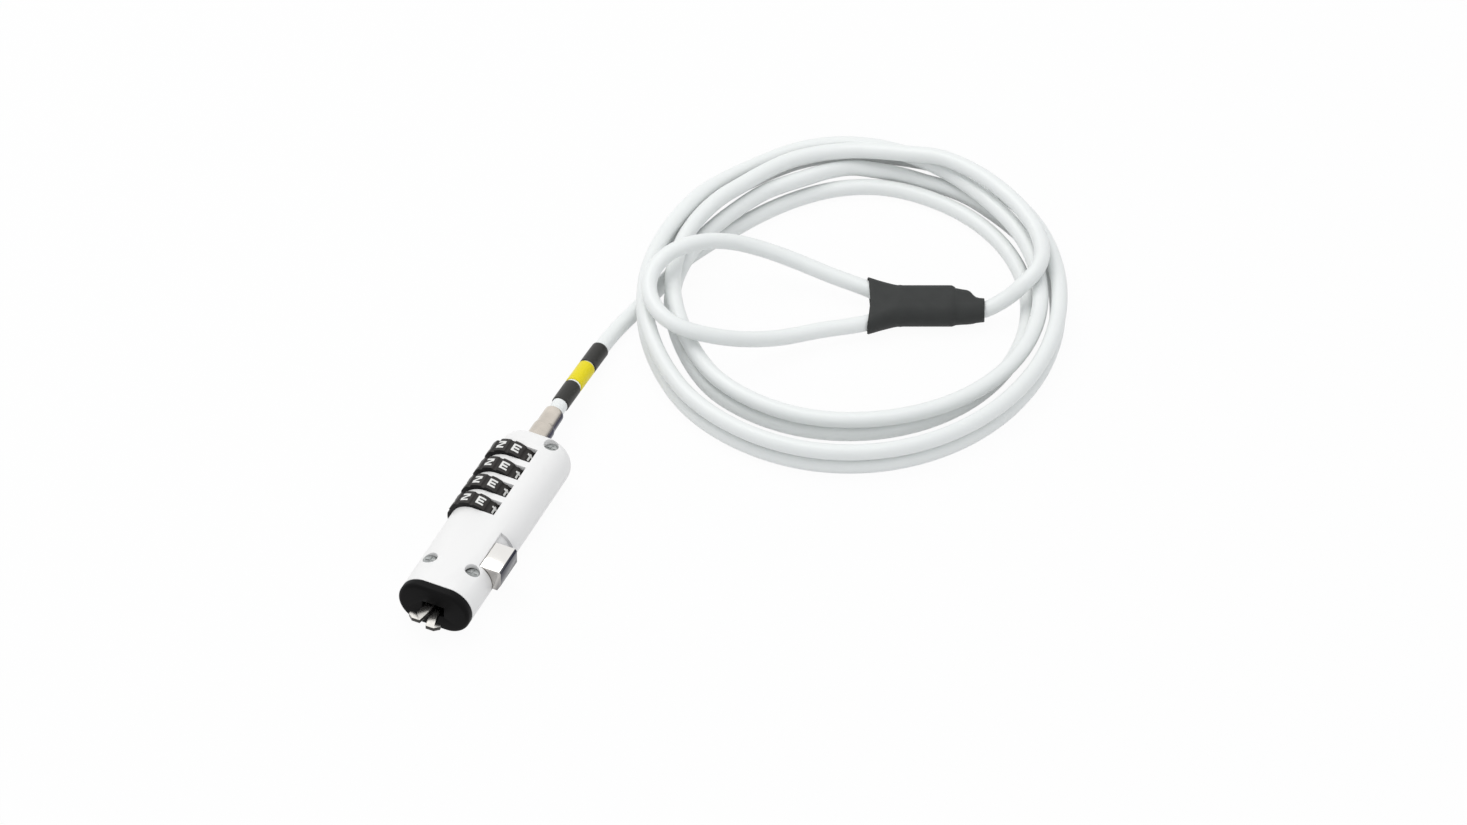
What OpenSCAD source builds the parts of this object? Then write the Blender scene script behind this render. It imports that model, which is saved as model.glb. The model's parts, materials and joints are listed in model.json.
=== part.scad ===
// Combination cable lock for a laptop security slot.
// A flattened body carries four number dials, a slide button on its right side and two hook
// claws at its front. A swivel ferrule at the rear holds a coiled, vinyl covered steel cable
// that ends in an eye. Millimetres, +Z up. The body lies on the table, its claws towards -Y.
// Inside modules wrapped by lock(), x counts from the body's centreline, y from the front
// face of the cap towards the cable, and z from the table.

/* [Body] */
// Length of the body with its front cap
body_l = 68; // [64:0.5:80]
// Width of the body
body_w = 21.5; // [20.5:0.5:26]
// Thickness of the body
body_h = 14; // [14:0.1:15]
// Thickness of the shells' wall
wall = 1.5; // [1.2:0.1:1.6]
// Thickness of the wall at the rear end of the body
rear_wall = 3.5; // [3:0.1:5]
// Radius of the two rear corners seen from above
rear_r = 4.5; // [2:0.5:6]
// Length of the front cap
cap_l = 2.8; // [2:0.1:3]

/* [Dials] */
// Number of dials
dial_n = 4; // [3:1:4]
// Radius of a dial
dial_r = 7.5; // [7.3:0.1:7.6]
// Width of a dial
dial_w = 4.9; // [4:0.1:5.2]
// Distance from one dial to the next
dial_pitch = 7.5; // [7.3:0.1:7.8]
// Distance from the rear wall's inner face forward to the middle of the last dial
dial_in = 5.7; // [5.7:0.1:8]
// Distance of the dials' axis to the left of the centreline
dial_offset = 4.4; // [4:0.1:4.8]
// Height of the dials' axis above the table
dial_z = 7.6; // [7.6:0.1:8]
// Number of numbers round a dial
digit_n = 10; // [8:1:12]
// Turn of the first groove from the top of a dial, in degrees towards the button
groove_turn = -2.5; // [-18:0.5:18]
// Radius of the grooves between the numbers
groove_r = 0.9; // [0.5:0.1:1.2]
// Depth of the grooves between the numbers
groove_depth = 0.45; // [0.2:0.05:0.6]
// Free space at each side of a dial in its window
window_gap = 0.2; // [0.15:0.05:0.3]
// Right end of the windows from the centreline
window_x = 2.4; // [1:0.1:3]
// Diameter of the shaft that the dials turn on
shaft_d = 3; // [2.5:0.1:3.2]
// Radius of the code rings' sleeves inside the dials
code_sleeve_r = 3; // [2.5:0.1:3.2]
// Radius of the code rings' discs
code_disc_r = 4.2; // [3.8:0.1:4.4]
// Thickness of the code rings' discs
code_disc_t = 1; // [0.8:0.1:1.2]
// Width of the gate in a code ring's disc
gate_w = 1.8; // [1.2:0.1:2.4]
// Depth of the gate in a code ring's disc
gate_depth = 0.9; // [0.5:0.1:1]
// Thickness of the two end plates that carry the shaft
end_plate_t = 1; // [0.8:0.1:1.2]

/* [Slide button] */
// Length of the slide button
button_l = 10.2; // [8:0.1:11]
// Distance from the cap's front face to the button's front end
button_y = 15.2; // [15:0.1:15.6]
// Distance from the centreline to the button's outer face
button_reach = 13.4; // [12.4:0.1:14]
// Distance from the centreline to the button's inner edge on top
button_in = 7; // [6.8:0.1:7.4]
// Height of the button's flat top above the table
button_top = 12.9; // [12.4:0.1:13.2]
// Height of the button's lower face above the table
button_low = 5.7; // [5.4:0.1:6]
// Size of the bevel along the button's upper outer edge
button_bevel = 0.6; // [0.4:0.1:1.2]
// Width of the slope under the button's outer face
button_slope_w = 1.2; // [0.6:0.1:1.6]
// Height of the slope under the button's outer face
button_slope_h = 2.4; // [1.2:0.1:3]
// Travel of the slide button towards the cable
button_travel = 3; // [2:0.1:3.2]
// Depth of the pocket that the button rides in
pocket_depth = 1.1; // [0.8:0.05:1.2]
// Free length of the pocket behind the button at the end of its travel
pocket_spare = 0.6; // [0.4:0.1:1]
// Thickness of the shell under the pocket
pocket_floor = 1; // [0.7:0.1:1.2]

/* [Claws] */
// Distance that the claws stand out of the cap
claw_reach = 6.5; // [5.5:0.1:7]
// Thickness of each claw
claw_t = 1.2; // [0.9:0.05:1.3]
// Distance from the cap's front face back to the claws' pivot
pivot_y = 5.5; // [5.3:0.1:5.7]
// Diameter of the claws' pivot pin
pivot_d = 1.6; // [1.2:0.1:2]
// Half of the distance between the outermost points of the two hooks
hook_half = 4.7; // [4.2:0.1:5.2]
// Turn of each claw when the button is pulled back, in degrees
claw_turn = 14; // [10:0.5:15]
// Distance from the pivot back to the claws' drive pins
tail_l = 5; // [4.8:0.1:5.2]
// Sideways distance of the drive pins from the centreline
tail_x = 2.3; // [2.2:0.05:2.4]
// Diameter of the claws' and the comb's drive pins
drive_d = 0.7; // [0.6:0.05:0.8]

/* [Screws] */
// Diameter of the counterbores for the screw heads
screw_hole_d = 4.2; // [3.8:0.1:4.4]
// Diameter of the screws' shanks
screw_shank_d = 2; // [1.6:0.1:2.2]
// Depth of the screw heads below the top of the body
screw_depth = 1.8; // [1:0.1:2.5]
// Height of the screw heads
screw_head_h = 1.6; // [1.2:0.1:2]
// Wall of the screw bosses round the counterbores
screw_wall = 0.4; // [0.3:0.05:0.4]
// Distance of the left front screw from the centreline
screw_left = 6.5; // [6.4:0.1:6.8]
// Distance of the right front screw from the centreline
screw_right = 6.1; // [6.1:0.1:6.3]
// Distance of the rear screw to the right of the centreline
screw_rear = 4.75; // [4:0.05:5]
// Distance from the cap's rear face to the left front screw
screw_left_in = 9.1; // [8.9:0.1:9.3]
// Distance from the cap's rear face to the right front screw
screw_right_in = 9.5; // [9.2:0.1:9.6]
// Distance from the rear wall's inner face back to the rear screw
screw_rear_back = 0.6; // [0.6:0.1:0.8]

/* [Swivel and cable] */
// Diameter of the cable with its vinyl cover
cable_d = 4.5; // [4:0.1:4.5]
// Diameter of the swivel ferrule
stub_d = 6.4; // [6:0.1:6.6]
// Diameter of the ferrule's crimped end
stub_crimp_d = 5.7; // [5.4:0.1:5.8]
// Length of the ferrule behind the body
stub_l = 14.75; // [12:0.25:16]
// Distance of the swivel's axis to the left of the centreline
stub_offset = 2.7; // [2.2:0.1:3]
// Diameter of the ferrule's neck in the body
neck_d = 4.4; // [4:0.1:4.8]
// Wall of the coloured bands round the cable
band_t = 0.25; // [0.15:0.05:0.4]
// Radius of the coil's inner loops at the middle of the cable
coil_r = 48.6; // [48.6:0.1:60]
// Radius added by the outer loops across the coil
coil_grow_across = 9.6; // [9.6:0.1:12]
// Radius added by the outer loops along the coil
coil_grow_along = 12.6; // [12.6:0.1:14]
// Height from one layer of loops to the next
coil_layer = 5.1; // [5.1:0.1:5.5]
// Length of the crimp ferrule that closes the eye
crimp_l = 13.6; // [10:0.1:14]
// Wall of the crimp ferrule
crimp_wall = 0.9; // [0.6:0.1:1]
// Wall of the shrink sleeve over the crimp ferrule
shrink_t = 0.8; // [0.5:0.05:1]

/* [Hidden] */
$fn = 64;

white = "#F4F3F2";
black = "#242326";
steel = "#B9B8B4";
chrome = "#D9D7D2";
vinyl = "#E9EBE9";
yellow = "#F2E21B";
charcoal = "#3A3D3B";

// Clearances: a fixed fit, a running fit, and the space beside moving parts
fit = 0.02;
run = 0.05;
play = 0.15;
free = 0.3;
// Length that a cutting shape runs past the face it opens
over = 1;

// The body's box is centred on the origin; the dials stand out at its left, the button at its right
dial_reach = dial_offset + dial_r;
lock_x = (dial_reach - button_reach) / 2;
rear_y = (body_l + claw_reach) / 2;
front_y = rear_y - body_l;
mid_z = body_h / 2;
rear_in = body_l - rear_wall;

// The first dial's middle, the dials' outer faces, the end plates and the comb's and spring's lanes
dial_y = rear_in - dial_in - (dial_n - 1) * dial_pitch;
dials_front = dial_y - dial_w / 2;
dials_rear = dial_y + (dial_n - 1) * dial_pitch + dial_w / 2;
front_plate_y = dials_front - code_disc_t - free - end_plate_t;
rear_plate_y = dials_rear + free;
detent_t = 0.3;
detent_x = dial_r - dial_offset + play;
detent_low = 2.6;
detent_high = 5.6;
detent_spine = 1;
comb_travel = button_travel / 3;
comb_t = 1.4;
comb_z = dial_z - comb_t / 2;
comb_x = dial_r - dial_offset + comb_travel + free;
comb_w = 1.4;
comb_tooth_w = 0.8;
comb_tip = code_disc_r - dial_offset + comb_travel + free;
// The comb's bar starts this far in front of its drive pin
comb_lead = 1;

// Screws: one at each front corner and one at the rear right corner
screws = [[-screw_left, cap_l + screw_left_in], [screw_right, cap_l + screw_right_in],
    [screw_rear, rear_in + screw_rear_back]];
screw_boss_r = screw_hole_d / 2 + screw_wall;
screw_seat_z = body_h - screw_depth - screw_head_h;
screw_tip_z = 2.2;

// Slide plate: under the claws at its front, up through the shell's side to the button
plate_z = 4.2;
plate_t = 1.1;
plate_w = 6.6;
pin_boss_r = pivot_d / 2 + 0.8;
plate_front = pivot_y + pin_boss_r + free;
// Where the plate widens, this far behind the left front screw's boss
plate_widen = 0.7;
neck_z = 6.4;
neck_t = 1.2;
// The neck is short enough for the button to cover its slot over the whole travel
neck_y = button_y + button_travel + free;
neck_l = button_l - 2 * (button_travel + free);
neck_short = 2.4;
neck_end = button_reach - neck_short;
plate_rear = neck_y + neck_l;
riser_t = 1.2;
riser_x = [comb_x + comb_w + free, comb_x + comb_w + free + riser_t];
comb_pin_in = 2.2;
comb_pin = [comb_x + comb_w / 2, plate_rear - comb_pin_in];
tab_w = 3.6;
tab_t = 1.2;
tab_top = 7.9;
side_r = mid_z;
flat_half = (body_w - body_h) / 2;
pocket_r = side_r - pocket_depth;
// The button's inner side clears the pocket's floor, and its front end the pocket's front
button_lift = 0.2;
liner_spare = 1.5;
pocket_end = button_y + button_l + button_travel + pocket_spare;

// Claws: the right one lies under the left one, and both turn on one pin
claw_gap = 0.1;
claw_low_z = mid_z - claw_gap / 2 - claw_t;
claw_high_z = mid_z + claw_gap / 2;
hub_r = pivot_d / 2 + 1.2;
slot_half_w = 3.3;
slot_free = 0.4;
slot_h = 2 * claw_t + claw_gap + 2 * slot_free;
drive_out = 0.2;
drive_low = plate_z - drive_out;

// Swivel: the stub's head turns in a chamber in front of the rear wall
stub_x = lock_x - stub_offset;
head_t = 1.3;
head_y = rear_in - play - head_t;
stub_bore_l = 10;

// Return spring between the slide plate's tab and the front end plate
spring_wire = 0.5;
spring_r = 1.3;
spring_z = (plate_z + plate_t + tab_top) / 2;
spring_turns = 6;

// The cable's route in the whole lock's own frame. The lead leaves the stub and slips under the coil.
lead_points = [
    [stub_x, rear_y + stub_l - stub_bore_l + run, mid_z], [stub_x, rear_y + stub_l, mid_z],
    [-3.6, 55.6, 6.8], [-3.9, 65, 5.7], [-4.3, 74.4, 4.2], [-4.5, 83.8, 3], [-4.2, 92, 2.3],
    [-2.9, 100, 2.25], [-1.3, 109, 2.25], [0.2, 118, 2.25], [1.2, 126, 2.25]];
tail_points = [
    [14.8, 166.4, 10.7], [27, 176.9, 10.1], [42.8, 181.4, 11.6], [52.4, 183.2, 12.5], [63.4, 182, 12.6],
    [73.9, 178.3, 12.6], [83.1, 173, 12.6], [90.2, 166.4, 12.6], [94, 160.2, 12.6],
    [94.9, 154.6, 12.3], [93.4, 149.8, 10.8], [90.2, 145.6, 7.6]];
eye_points = [
    [47.7, 114.7, 4.6], [39.5, 106.3, 5.8], [32.5, 98.4, 9.3], [25.2, 92, 13.4],
    [18.1, 88.8, 16.2], [12.1, 89.5, 17.2], [7.3, 92.6, 17.8], [3.8, 97.2, 18.4],
    [2.4, 102.8, 19.3], [3.4, 108.4, 20.2], [6.3, 113.9, 20.3], [10.3, 119.9, 18.6],
    [15.5, 125.6, 15.5], [22.8, 129.9, 12], [31.6, 132.4, 9], [41.5, 133.6, 6.7]];
// Where the splice lies, how far its sleeve reaches from its middle at each end, and how far
// sideways the eye's two legs have spread where they leave it
splice = [70, 136.4];
splice_turn = 25.4;
splice_z = 4.1;
sleeve_left = -16.5;
sleeve_right = 16;
lane_half = 2.55;
near_spread = -6.8;
far_spread = 5.9;

// The coil: its middle, its turn about +Z, and which lane each stretch of the cable lies in.
// Turns count clockwise from the coil's left side; lane 0 is the inner circle, lane 1 the outer.
coil_mid = [50.25, 127.9];
coil_turn = 25.4;
coil_start = 0.09;
coil_end = 4.14;
coil_rings = 24;
lanes = [[0, 0], [0.04, 0], [0.14, -0.38], [0.3, 0], [0.5, 0.1], [0.75, 0], [0.95, 0.08],
    [1.12, -0.26], [1.19, -0.12], [1.27, 0.36], [1.3, 0.42], [1.36, 0.56], [1.5, 0.95], [1.75, 1],
    [1.93, 0.95], [2.1, 0.48], [2.25, 0.95], [2.4, 1], [2.75, 1], [2.93, 0.95], [3.1, 0.48],
    [3.24, 0.87], [3.4, 0.45], [3.5, 0.45], [3.75, 0], [4.12, 0], [4.3, 0.5]];
// Turns between which the cable climbs to the upper layer
climb = [2.25, 2.45];
// Where each loop lies over the one before it: the turns at which this starts and ends, and how
// long the loop then takes to come down
humps = [[0.98, 1.19, 0.14], [1.98, 2.09, 0.1], [2.98, 3.09, 0.1], [3.98, 4.12, 0.1]];
// Part of a turn in which a loop rises to its hump
hump_rise = 0.1;
// Points a turn at which the coil's least gap to itself is measured
gap_samples = 48;

function soft(t) = 0.5 - 0.5 * cos(180 * min(max(t, 0), 1));
function ramp(t, a, b) = soft((t - a) / (b - a));
function hump(t, h) = ramp(t, h[0] - hump_rise, h[0]) - ramp(t, h[1], h[1] + h[2]);
function humps_from(t, i = 0) = i >= len(humps) ? 0 : hump(t, humps[i]) + humps_from(t, i + 1);
function lane_from(t, i) = lanes[i][1]
    + (lanes[i + 1][1] - lanes[i][1]) * ramp(t, lanes[i][0], lanes[i + 1][0]);
function lane_index(t, i = 0) = i >= len(lanes) - 2 || t < lanes[i + 1][0] ? i : lane_index(t, i + 1);
function lane(t) = lane_from(t, lane_index(t));
function coil_z(t) = cable_d / 2 + coil_layer * (ramp(t, climb[0], climb[1]) + humps_from(t));
function turned(a, b, angle) = [a * cos(angle) - b * sin(angle), a * sin(angle) + b * cos(angle)];
function coil_at(t) = concat(coil_mid + turned(
    (coil_r + lane(t) * coil_grow_across) * cos(180 - 360 * t),
    (coil_r + lane(t) * coil_grow_along) * sin(180 - 360 * t), coil_turn), [coil_z(t)]);
function splice_at(u, v, z) = concat(splice + turned(u, v, splice_turn), [z]);
function unit(v) = v / norm(v);
function way(t) = unit(coil_at(t + 0.005) - coil_at(t - 0.005));

coil_steps = ceil((coil_end - coil_start) * coil_rings);
coil_first = coil_at(coil_start);
coil_last = coil_at(coil_end);
coil_points = concat(
    [coil_first, coil_first + cable_d * way(coil_start)],
    [for (i = [1 : coil_steps - 1]) coil_at(coil_start + (coil_end - coil_start) * i / coil_steps)],
    [coil_last - cable_d * way(coil_end), coil_last]);
splice_in = [splice_at(sleeve_right, -2.1, 4.7), splice_at(11.5, -2.45, 4.2),
    splice_at(crimp_l / 2, -lane_half, splice_z)];
// The tail and the eye meet inside the crimp, where both run straight
lane_mid = splice_at(0, -lane_half, splice_z);
lane_ends = [splice_at(-crimp_l / 2, -lane_half, splice_z), splice_at(-crimp_l / 2, lane_half, splice_z),
    splice_at(crimp_l / 2, lane_half, splice_z)];
leg_near = [splice_at(-11.5, -4, splice_z), splice_at(sleeve_left, near_spread, 4.3)];
leg_far = [splice_at(sleeve_left, far_spread, 5), splice_at(-11.5, 3.7, 4.3)];
lead_route = concat(lead_points, [coil_first - cable_d * way(coil_start), coil_first]);
tail_route = concat([coil_last, coil_last + cable_d * way(coil_end)], tail_points, splice_in,
    [lane_mid]);
eye_route = concat([lane_mid, lane_ends[0]], leg_near, eye_points, leg_far,
    [lane_ends[1], lane_ends[2]]);

// The least gap between the coil's loops, measured from each point to those a quarter turn on or more
gap_points = [for (t = [coil_start : 1 / gap_samples : coil_end]) coil_at(t)];
gap_skip = gap_samples / 4;
least_gap = min([for (i = [0 : len(gap_points) - gap_skip - 1])
    min([for (j = [i + gap_skip : len(gap_points) - 1]) norm(gap_points[i] - gap_points[j])])]) - cable_d;
echo(least_gap_in_coil = least_gap);

// Direction of a route at one of its points, its ring of corners there, and its length
function route_way(p, i) = unit(unit(p[min(i + 1, len(p) - 1)] - p[max(i - (i == len(p) - 1 ? 1 : 0), 0)])
    + unit(p[max(i, 1)] - p[max(i, 1) - 1]));
function ring(p, w, r, sides) = let (side = unit(cross([0, 0, 1], w)), up = cross(w, side))
    [for (k = [0 : sides - 1]) p + r * (sin(360 * k / sides) * side - cos(360 * k / sides) * up)];
function route_length(p, i = 1) = i >= len(p) ? 0 : norm(p[i] - p[i - 1]) + route_length(p, i + 1);
echo(cable_length = route_length(lead_route) + route_length(coil_points) + route_length(tail_route)
    + route_length(eye_route));

// Children in the lock's own frame, as the note at the top says
module lock() {
    translate([lock_x, front_y, 0]) children();
}

// A flat outline in x and z, drawn with y as z, run along Y from y0 to y1
module along_y(y0, y1) {
    translate([0, y1, 0]) rotate([90, 0, 0]) linear_extrude(height = y1 - y0) children();
}

// Half of a disc, to the right of x = 0 or to the left
module half_disc(r, right) {
    intersection() {
        circle(r = r);
        translate([right ? 0 : -r - over, -r - over]) square([r + over, 2 * (r + over)]);
    }
}

// Flat outline with round ends, w wide and h high, its middle at the body's middle height
module stadium(w, h) {
    translate([0, mid_z]) {
        square([w - h, h], center = true);
        translate([(w - h) / 2, 0]) half_disc(h / 2, true);
        translate([-(w - h) / 2, 0]) half_disc(h / 2, false);
    }
}

// The body's outline inset all round by a distance
module body_outline(inset) {
    stadium(body_w - 2 * inset, body_h - 2 * inset);
}

// The body seen from above, with its two rounded rear corners
module body_plan() {
    inner = body_w / 2 - rear_r;
    translate([-body_w / 2 - over, 0]) square([body_w + 2 * over, body_l - rear_r]);
    translate([-inner, body_l - rear_r]) square([2 * inner, rear_r]);
    for (right = [true, false]) {
        translate([right ? inner : -inner, body_l - rear_r]) intersection() {
            circle(r = rear_r);
            translate([right ? 0 : -rear_r - over, 0]) square([rear_r + over, rear_r + over]);
        }
    }
}

module dial_axis() {
    translate([-dial_offset, 0, dial_z]) children();
}

// A bar along Y, or a drum, round the axis at hand
module drum(y0, y1, r) {
    translate([0, y1, 0]) rotate([90, 0, 0]) cylinder(h = y1 - y0, r = r);
}

// Space that the dials and their windows take out of the shells
module windows() {
    for (i = [0 : dial_n - 1]) {
        low = dial_y + i * dial_pitch - dial_w / 2 - window_gap;
        translate([-body_w, low, -over])
            cube([body_w + window_x, dial_w + 2 * window_gap, body_h + 2 * over]);
    }
}

// Pocket in the body's right side for the slide button
module button_pocket() {
    difference() {
        translate([button_in - free, button_y - button_lift, button_low - free])
            cube([body_w, pocket_end - button_y + button_lift, body_h]);
        translate([flat_half, 0, mid_z]) drum(0, body_l, pocket_r);
    }
}

// Slot through the pocket's floor for the slide plate's neck
module neck_slot() {
    translate([flat_half, neck_y - free, neck_z - play])
        cube([body_w, neck_l + button_travel + 2 * free, neck_t + 2 * play]);
}

// Metal left inside the shells under the pocket, where the cavity is narrower, grown by a clearance
module pocket_liner(clear) {
    grown = liner_spare + clear;
    difference() {
        translate([flat_half - clear, button_y - grown, 0])
            cube([body_w, pocket_end - button_y + 2 * grown, body_h]);
        along_y(0, body_l) body_outline(pocket_depth + pocket_floor + clear);
    }
}

module screw_bosses() {
    intersection() {
        for (s = screws) translate([s[0], s[1], 0]) cylinder(h = body_h, r = screw_boss_r);
        along_y(cap_l, body_l) body_outline(wall / 2);
        translate([-body_w, 0, 0]) cube([2 * body_w, body_l, body_h]);
    }
}

// Bosses above and below the claws that hold the ends of their pin
module pin_bosses() {
    translate([0, pivot_y, 0]) difference() {
        translate([0, 0, wall / 2]) cylinder(h = body_h - wall, r = pin_boss_r);
        translate([-body_w, -body_w, claw_low_z - play])
            cube([2 * body_w, 2 * body_w, 2 * (mid_z - claw_low_z + play)]);
    }
}

pin_low = plate_z - 2;
pin_high = body_h - pin_low;

// Both shells in one piece, before they are parted at the middle height
module shell_block() {
    difference() {
        union() {
            difference() {
                intersection() {
                    along_y(cap_l, body_l) body_outline(0);
                    linear_extrude(height = body_h) body_plan();
                }
                difference() {
                    along_y(cap_l - over, rear_in) body_outline(wall);
                    pocket_liner(0);
                }
            }
            screw_bosses();
            pin_bosses();
        }
        windows();
        button_pocket();
        neck_slot();
        for (s = screws) translate([s[0], s[1], 0]) {
            translate([0, 0, screw_seat_z]) cylinder(h = body_h, d = screw_hole_d);
            translate([0, 0, screw_tip_z - play]) cylinder(h = body_h, d = screw_shank_d + 2 * run);
        }
        translate([0, pivot_y, pin_low - play])
            cylinder(h = pin_high - pin_low + 2 * play, d = pivot_d + 2 * fit);
        translate([-stub_offset, 0, mid_z]) drum(rear_in - over, body_l + over, neck_d / 2 + run);
    }
}

module upper_shell() {
    color(white) lock() intersection() {
        shell_block();
        translate([-body_w, 0, mid_z]) cube([2 * body_w, body_l, body_h]);
    }
}

module lower_shell() {
    color(white) lock() intersection() {
        shell_block();
        translate([-body_w, 0, 0]) cube([2 * body_w, body_l, mid_z]);
    }
}

module front_cap() {
    // The cap's rim inside the shells stops short of the claw pin's bosses
    spigot = pivot_y - pin_boss_r - cap_l - play;
    rim_t = 0.8;
    color(black) lock() difference() {
        union() {
            along_y(0, cap_l) body_outline(0);
            difference() {
                along_y(cap_l, cap_l + spigot) body_outline(wall + run);
                along_y(cap_l - over, cap_l + spigot + over) body_outline(wall + run + rim_t);
            }
        }
        translate([-slot_half_w, -over, mid_z - slot_h / 2])
            cube([2 * slot_half_w, cap_l + 2 * over, slot_h]);
    }
}

module case_screws() {
    slot_w = 0.5;
    color(steel) lock() for (s = screws) translate([s[0], s[1], 0]) difference() {
        union() {
            translate([0, 0, screw_tip_z]) cylinder(h = screw_seat_z - screw_tip_z, d = screw_shank_d);
            translate([0, 0, screw_seat_z]) cylinder(h = screw_head_h, d = screw_hole_d - 2 * play);
        }
        for (turn = [0, 90]) translate([0, 0, screw_seat_z + screw_head_h / 2]) rotate([0, 0, turn])
            translate([-screw_hole_d / 3, -slot_w / 2, 0])
                cube([screw_hole_d * 2 / 3, slot_w, screw_head_h]);
    }
}

// A plate across the cavity that carries one end of the shaft, the spring and the comb
module end_plate(y) {
    color(steel) lock() difference() {
        along_y(y, y + end_plate_t) body_outline(wall + run);
        pocket_liner(run);
        dial_axis() drum(y - over, y + end_plate_t + over, shaft_d / 2 + fit);
        translate([detent_x - fit, y - over, detent_low - fit])
            cube([detent_t + 2 * fit, end_plate_t + 2 * over, detent_high - detent_low + 2 * fit]);
        translate([comb_x - comb_travel - play, y - over, comb_z - run])
            cube([comb_w + comb_travel + 2 * play, end_plate_t + 2 * over, comb_t + 2 * run]);
    }
}

module front_end_plate() {
    end_plate(front_plate_y);
}

module rear_end_plate() {
    end_plate(rear_plate_y);
}

module dial_shaft() {
    color(steel) lock() dial_axis()
        drum(front_plate_y, rear_plate_y + end_plate_t, shaft_d / 2);
}

// Dial number i, counted from the front
module dial(i) {
    y = dial_y + i * dial_pitch - dial_w / 2;
    color(black) lock() dial_axis() difference() {
        drum(y, y + dial_w, dial_r);
        drum(y - over, y + dial_w + over, code_sleeve_r + fit);
        for (k = [0 : digit_n - 1]) rotate([0, groove_turn + k * 360 / digit_n, 0])
            translate([0, 0, dial_r - groove_depth + groove_r])
                drum(y - over, y + dial_w + over, groove_r);
    }
}

// Code ring number i: a sleeve inside the dial, and a disc with one gate in front of it
module code_ring(i) {
    y = dial_y + i * dial_pitch - dial_w / 2;
    color(steel) lock() dial_axis() difference() {
        union() {
            drum(y, y + dial_w, code_sleeve_r);
            drum(y - code_disc_t, y, code_disc_r);
        }
        drum(y - code_disc_t - over, y + dial_w + over, shaft_d / 2 + run);
        translate([code_disc_r - gate_depth, y - code_disc_t - over, -gate_w / 2])
            cube([gate_depth + over, code_disc_t + over, gate_w]);
    }
}

// Washers on the shaft between one dial and the next code ring
module spacer_washers() {
    washer_r = 2.4;
    color(steel) lock() dial_axis() for (i = [0 : dial_n - 2]) {
        y = dial_y + i * dial_pitch + dial_w / 2;
        difference() {
            drum(y + play, y + dial_pitch - dial_w - code_disc_t - play, washer_r);
            drum(y, y + dial_pitch, shaft_d / 2 + fit);
        }
    }
}

// Leaf spring beside the dials, one finger for each, held in the two end plates
module detent_spring() {
    finger_gap = 1;
    color(steel) lock() difference() {
        translate([detent_x, front_plate_y, detent_low])
            cube([detent_t, rear_plate_y + end_plate_t - front_plate_y, detent_high - detent_low]);
        for (i = [0 : dial_n - 2]) {
            gap_y = dial_y + (i + 0.5) * dial_pitch - finger_gap / 2;
            translate([detent_x - over, gap_y, detent_low + detent_spine])
                cube([detent_t + 2 * over, finger_gap, detent_high]);
        }
    }
}

// Comb with one tooth in front of each code ring's edge, and a pin in the slide plate's slot
module locking_comb() {
    color(steel) lock() {
        translate([comb_x, comb_pin[1] - comb_lead, comb_z])
            cube([comb_w, rear_plate_y + end_plate_t - comb_pin[1] + comb_lead, comb_t]);
        for (i = [0 : dial_n - 1]) {
            tooth_y = dial_y + i * dial_pitch - dial_w / 2 - code_disc_t / 2 - comb_tooth_w / 2;
            translate([comb_tip, tooth_y, comb_z]) cube([comb_x - comb_tip, comb_tooth_w, comb_t]);
        }
        translate([comb_pin[0], comb_pin[1], drive_low]) cylinder(h = comb_z - drive_low, d = drive_d);
    }
}

module slide_button() {
    color(chrome) lock() difference() {
        along_y(button_y, button_y + button_l) polygon([
            [button_in, button_top], [button_in, mid_z], [flat_half, mid_z], [flat_half, button_low],
            [button_reach - button_slope_w, button_low], [button_reach, button_low + button_slope_h],
            [button_reach, button_top - button_bevel], [button_reach - button_bevel, button_top]]);
        translate([flat_half, 0, mid_z]) drum(0, body_l, pocket_r + button_lift);
        translate([0, neck_y - fit, neck_z - fit])
            cube([neck_end + fit, neck_l + 2 * fit, neck_t + 2 * fit]);
    }
}

// A slot in the slide plate that pushes a drive pin sideways while the plate slides back
module cam_slot(from, to) {
    reach = drive_d / 2 + play;
    step = to - from;
    translate([from[0], from[1], plate_z - over]) rotate([0, 0, atan2(step[1], step[0])])
        translate([-reach, -reach, 0]) cube([norm(step) + 2 * reach, 2 * reach, plate_t + 2 * over]);
}

// Place of the right claw's drive pin after the claw has turned by an angle
function tail_pin(angle) = [tail_l * sin(angle) - tail_x * cos(angle),
    pivot_y + tail_l * cos(angle) + tail_x * sin(angle)];

module slide_plate() {
    start = tail_pin(0);
    end = tail_pin(claw_turn) - [0, button_travel];
    wide_y = screws[0][1] + screw_boss_r + plate_widen;
    color(steel) lock() difference() {
        union() {
            translate([-plate_w / 2, plate_front, plate_z]) cube([plate_w, wide_y - plate_front, plate_t]);
            translate([-plate_w / 2, wide_y, plate_z])
                cube([plate_w / 2 + riser_x[1], plate_rear - wide_y, plate_t]);
            translate([riser_x[0], neck_y, plate_z])
                cube([riser_x[1] - riser_x[0], neck_l, neck_z + neck_t - plate_z]);
            translate([riser_x[0], neck_y, neck_z]) cube([neck_end - riser_x[0], neck_l, neck_t]);
            translate([-tab_w / 2, plate_rear - tab_t, plate_z]) cube([tab_w, tab_t, tab_top - plate_z]);
        }
        cam_slot(start, end);
        mirror([1, 0, 0]) cam_slot(start, end);
        cam_slot(comb_pin, comb_pin - [comb_travel, button_travel]);
    }
}

// Helical spring along Y between the plate's tab and the front end plate
module return_spring() {
    steps = 8;
    y0 = plate_rear + spring_wire / 2 + run;
    y1 = front_plate_y - spring_wire / 2 - run;
    coil = [for (k = [0 : spring_turns * steps]) [
        lock_x + spring_r * cos(360 * k / steps),
        front_y + y0 + (y1 - y0) * k / (spring_turns * steps),
        spring_z + spring_r * sin(360 * k / steps)]];
    color(steel) wire(coil, spring_wire / 2, 6);
}

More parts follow.
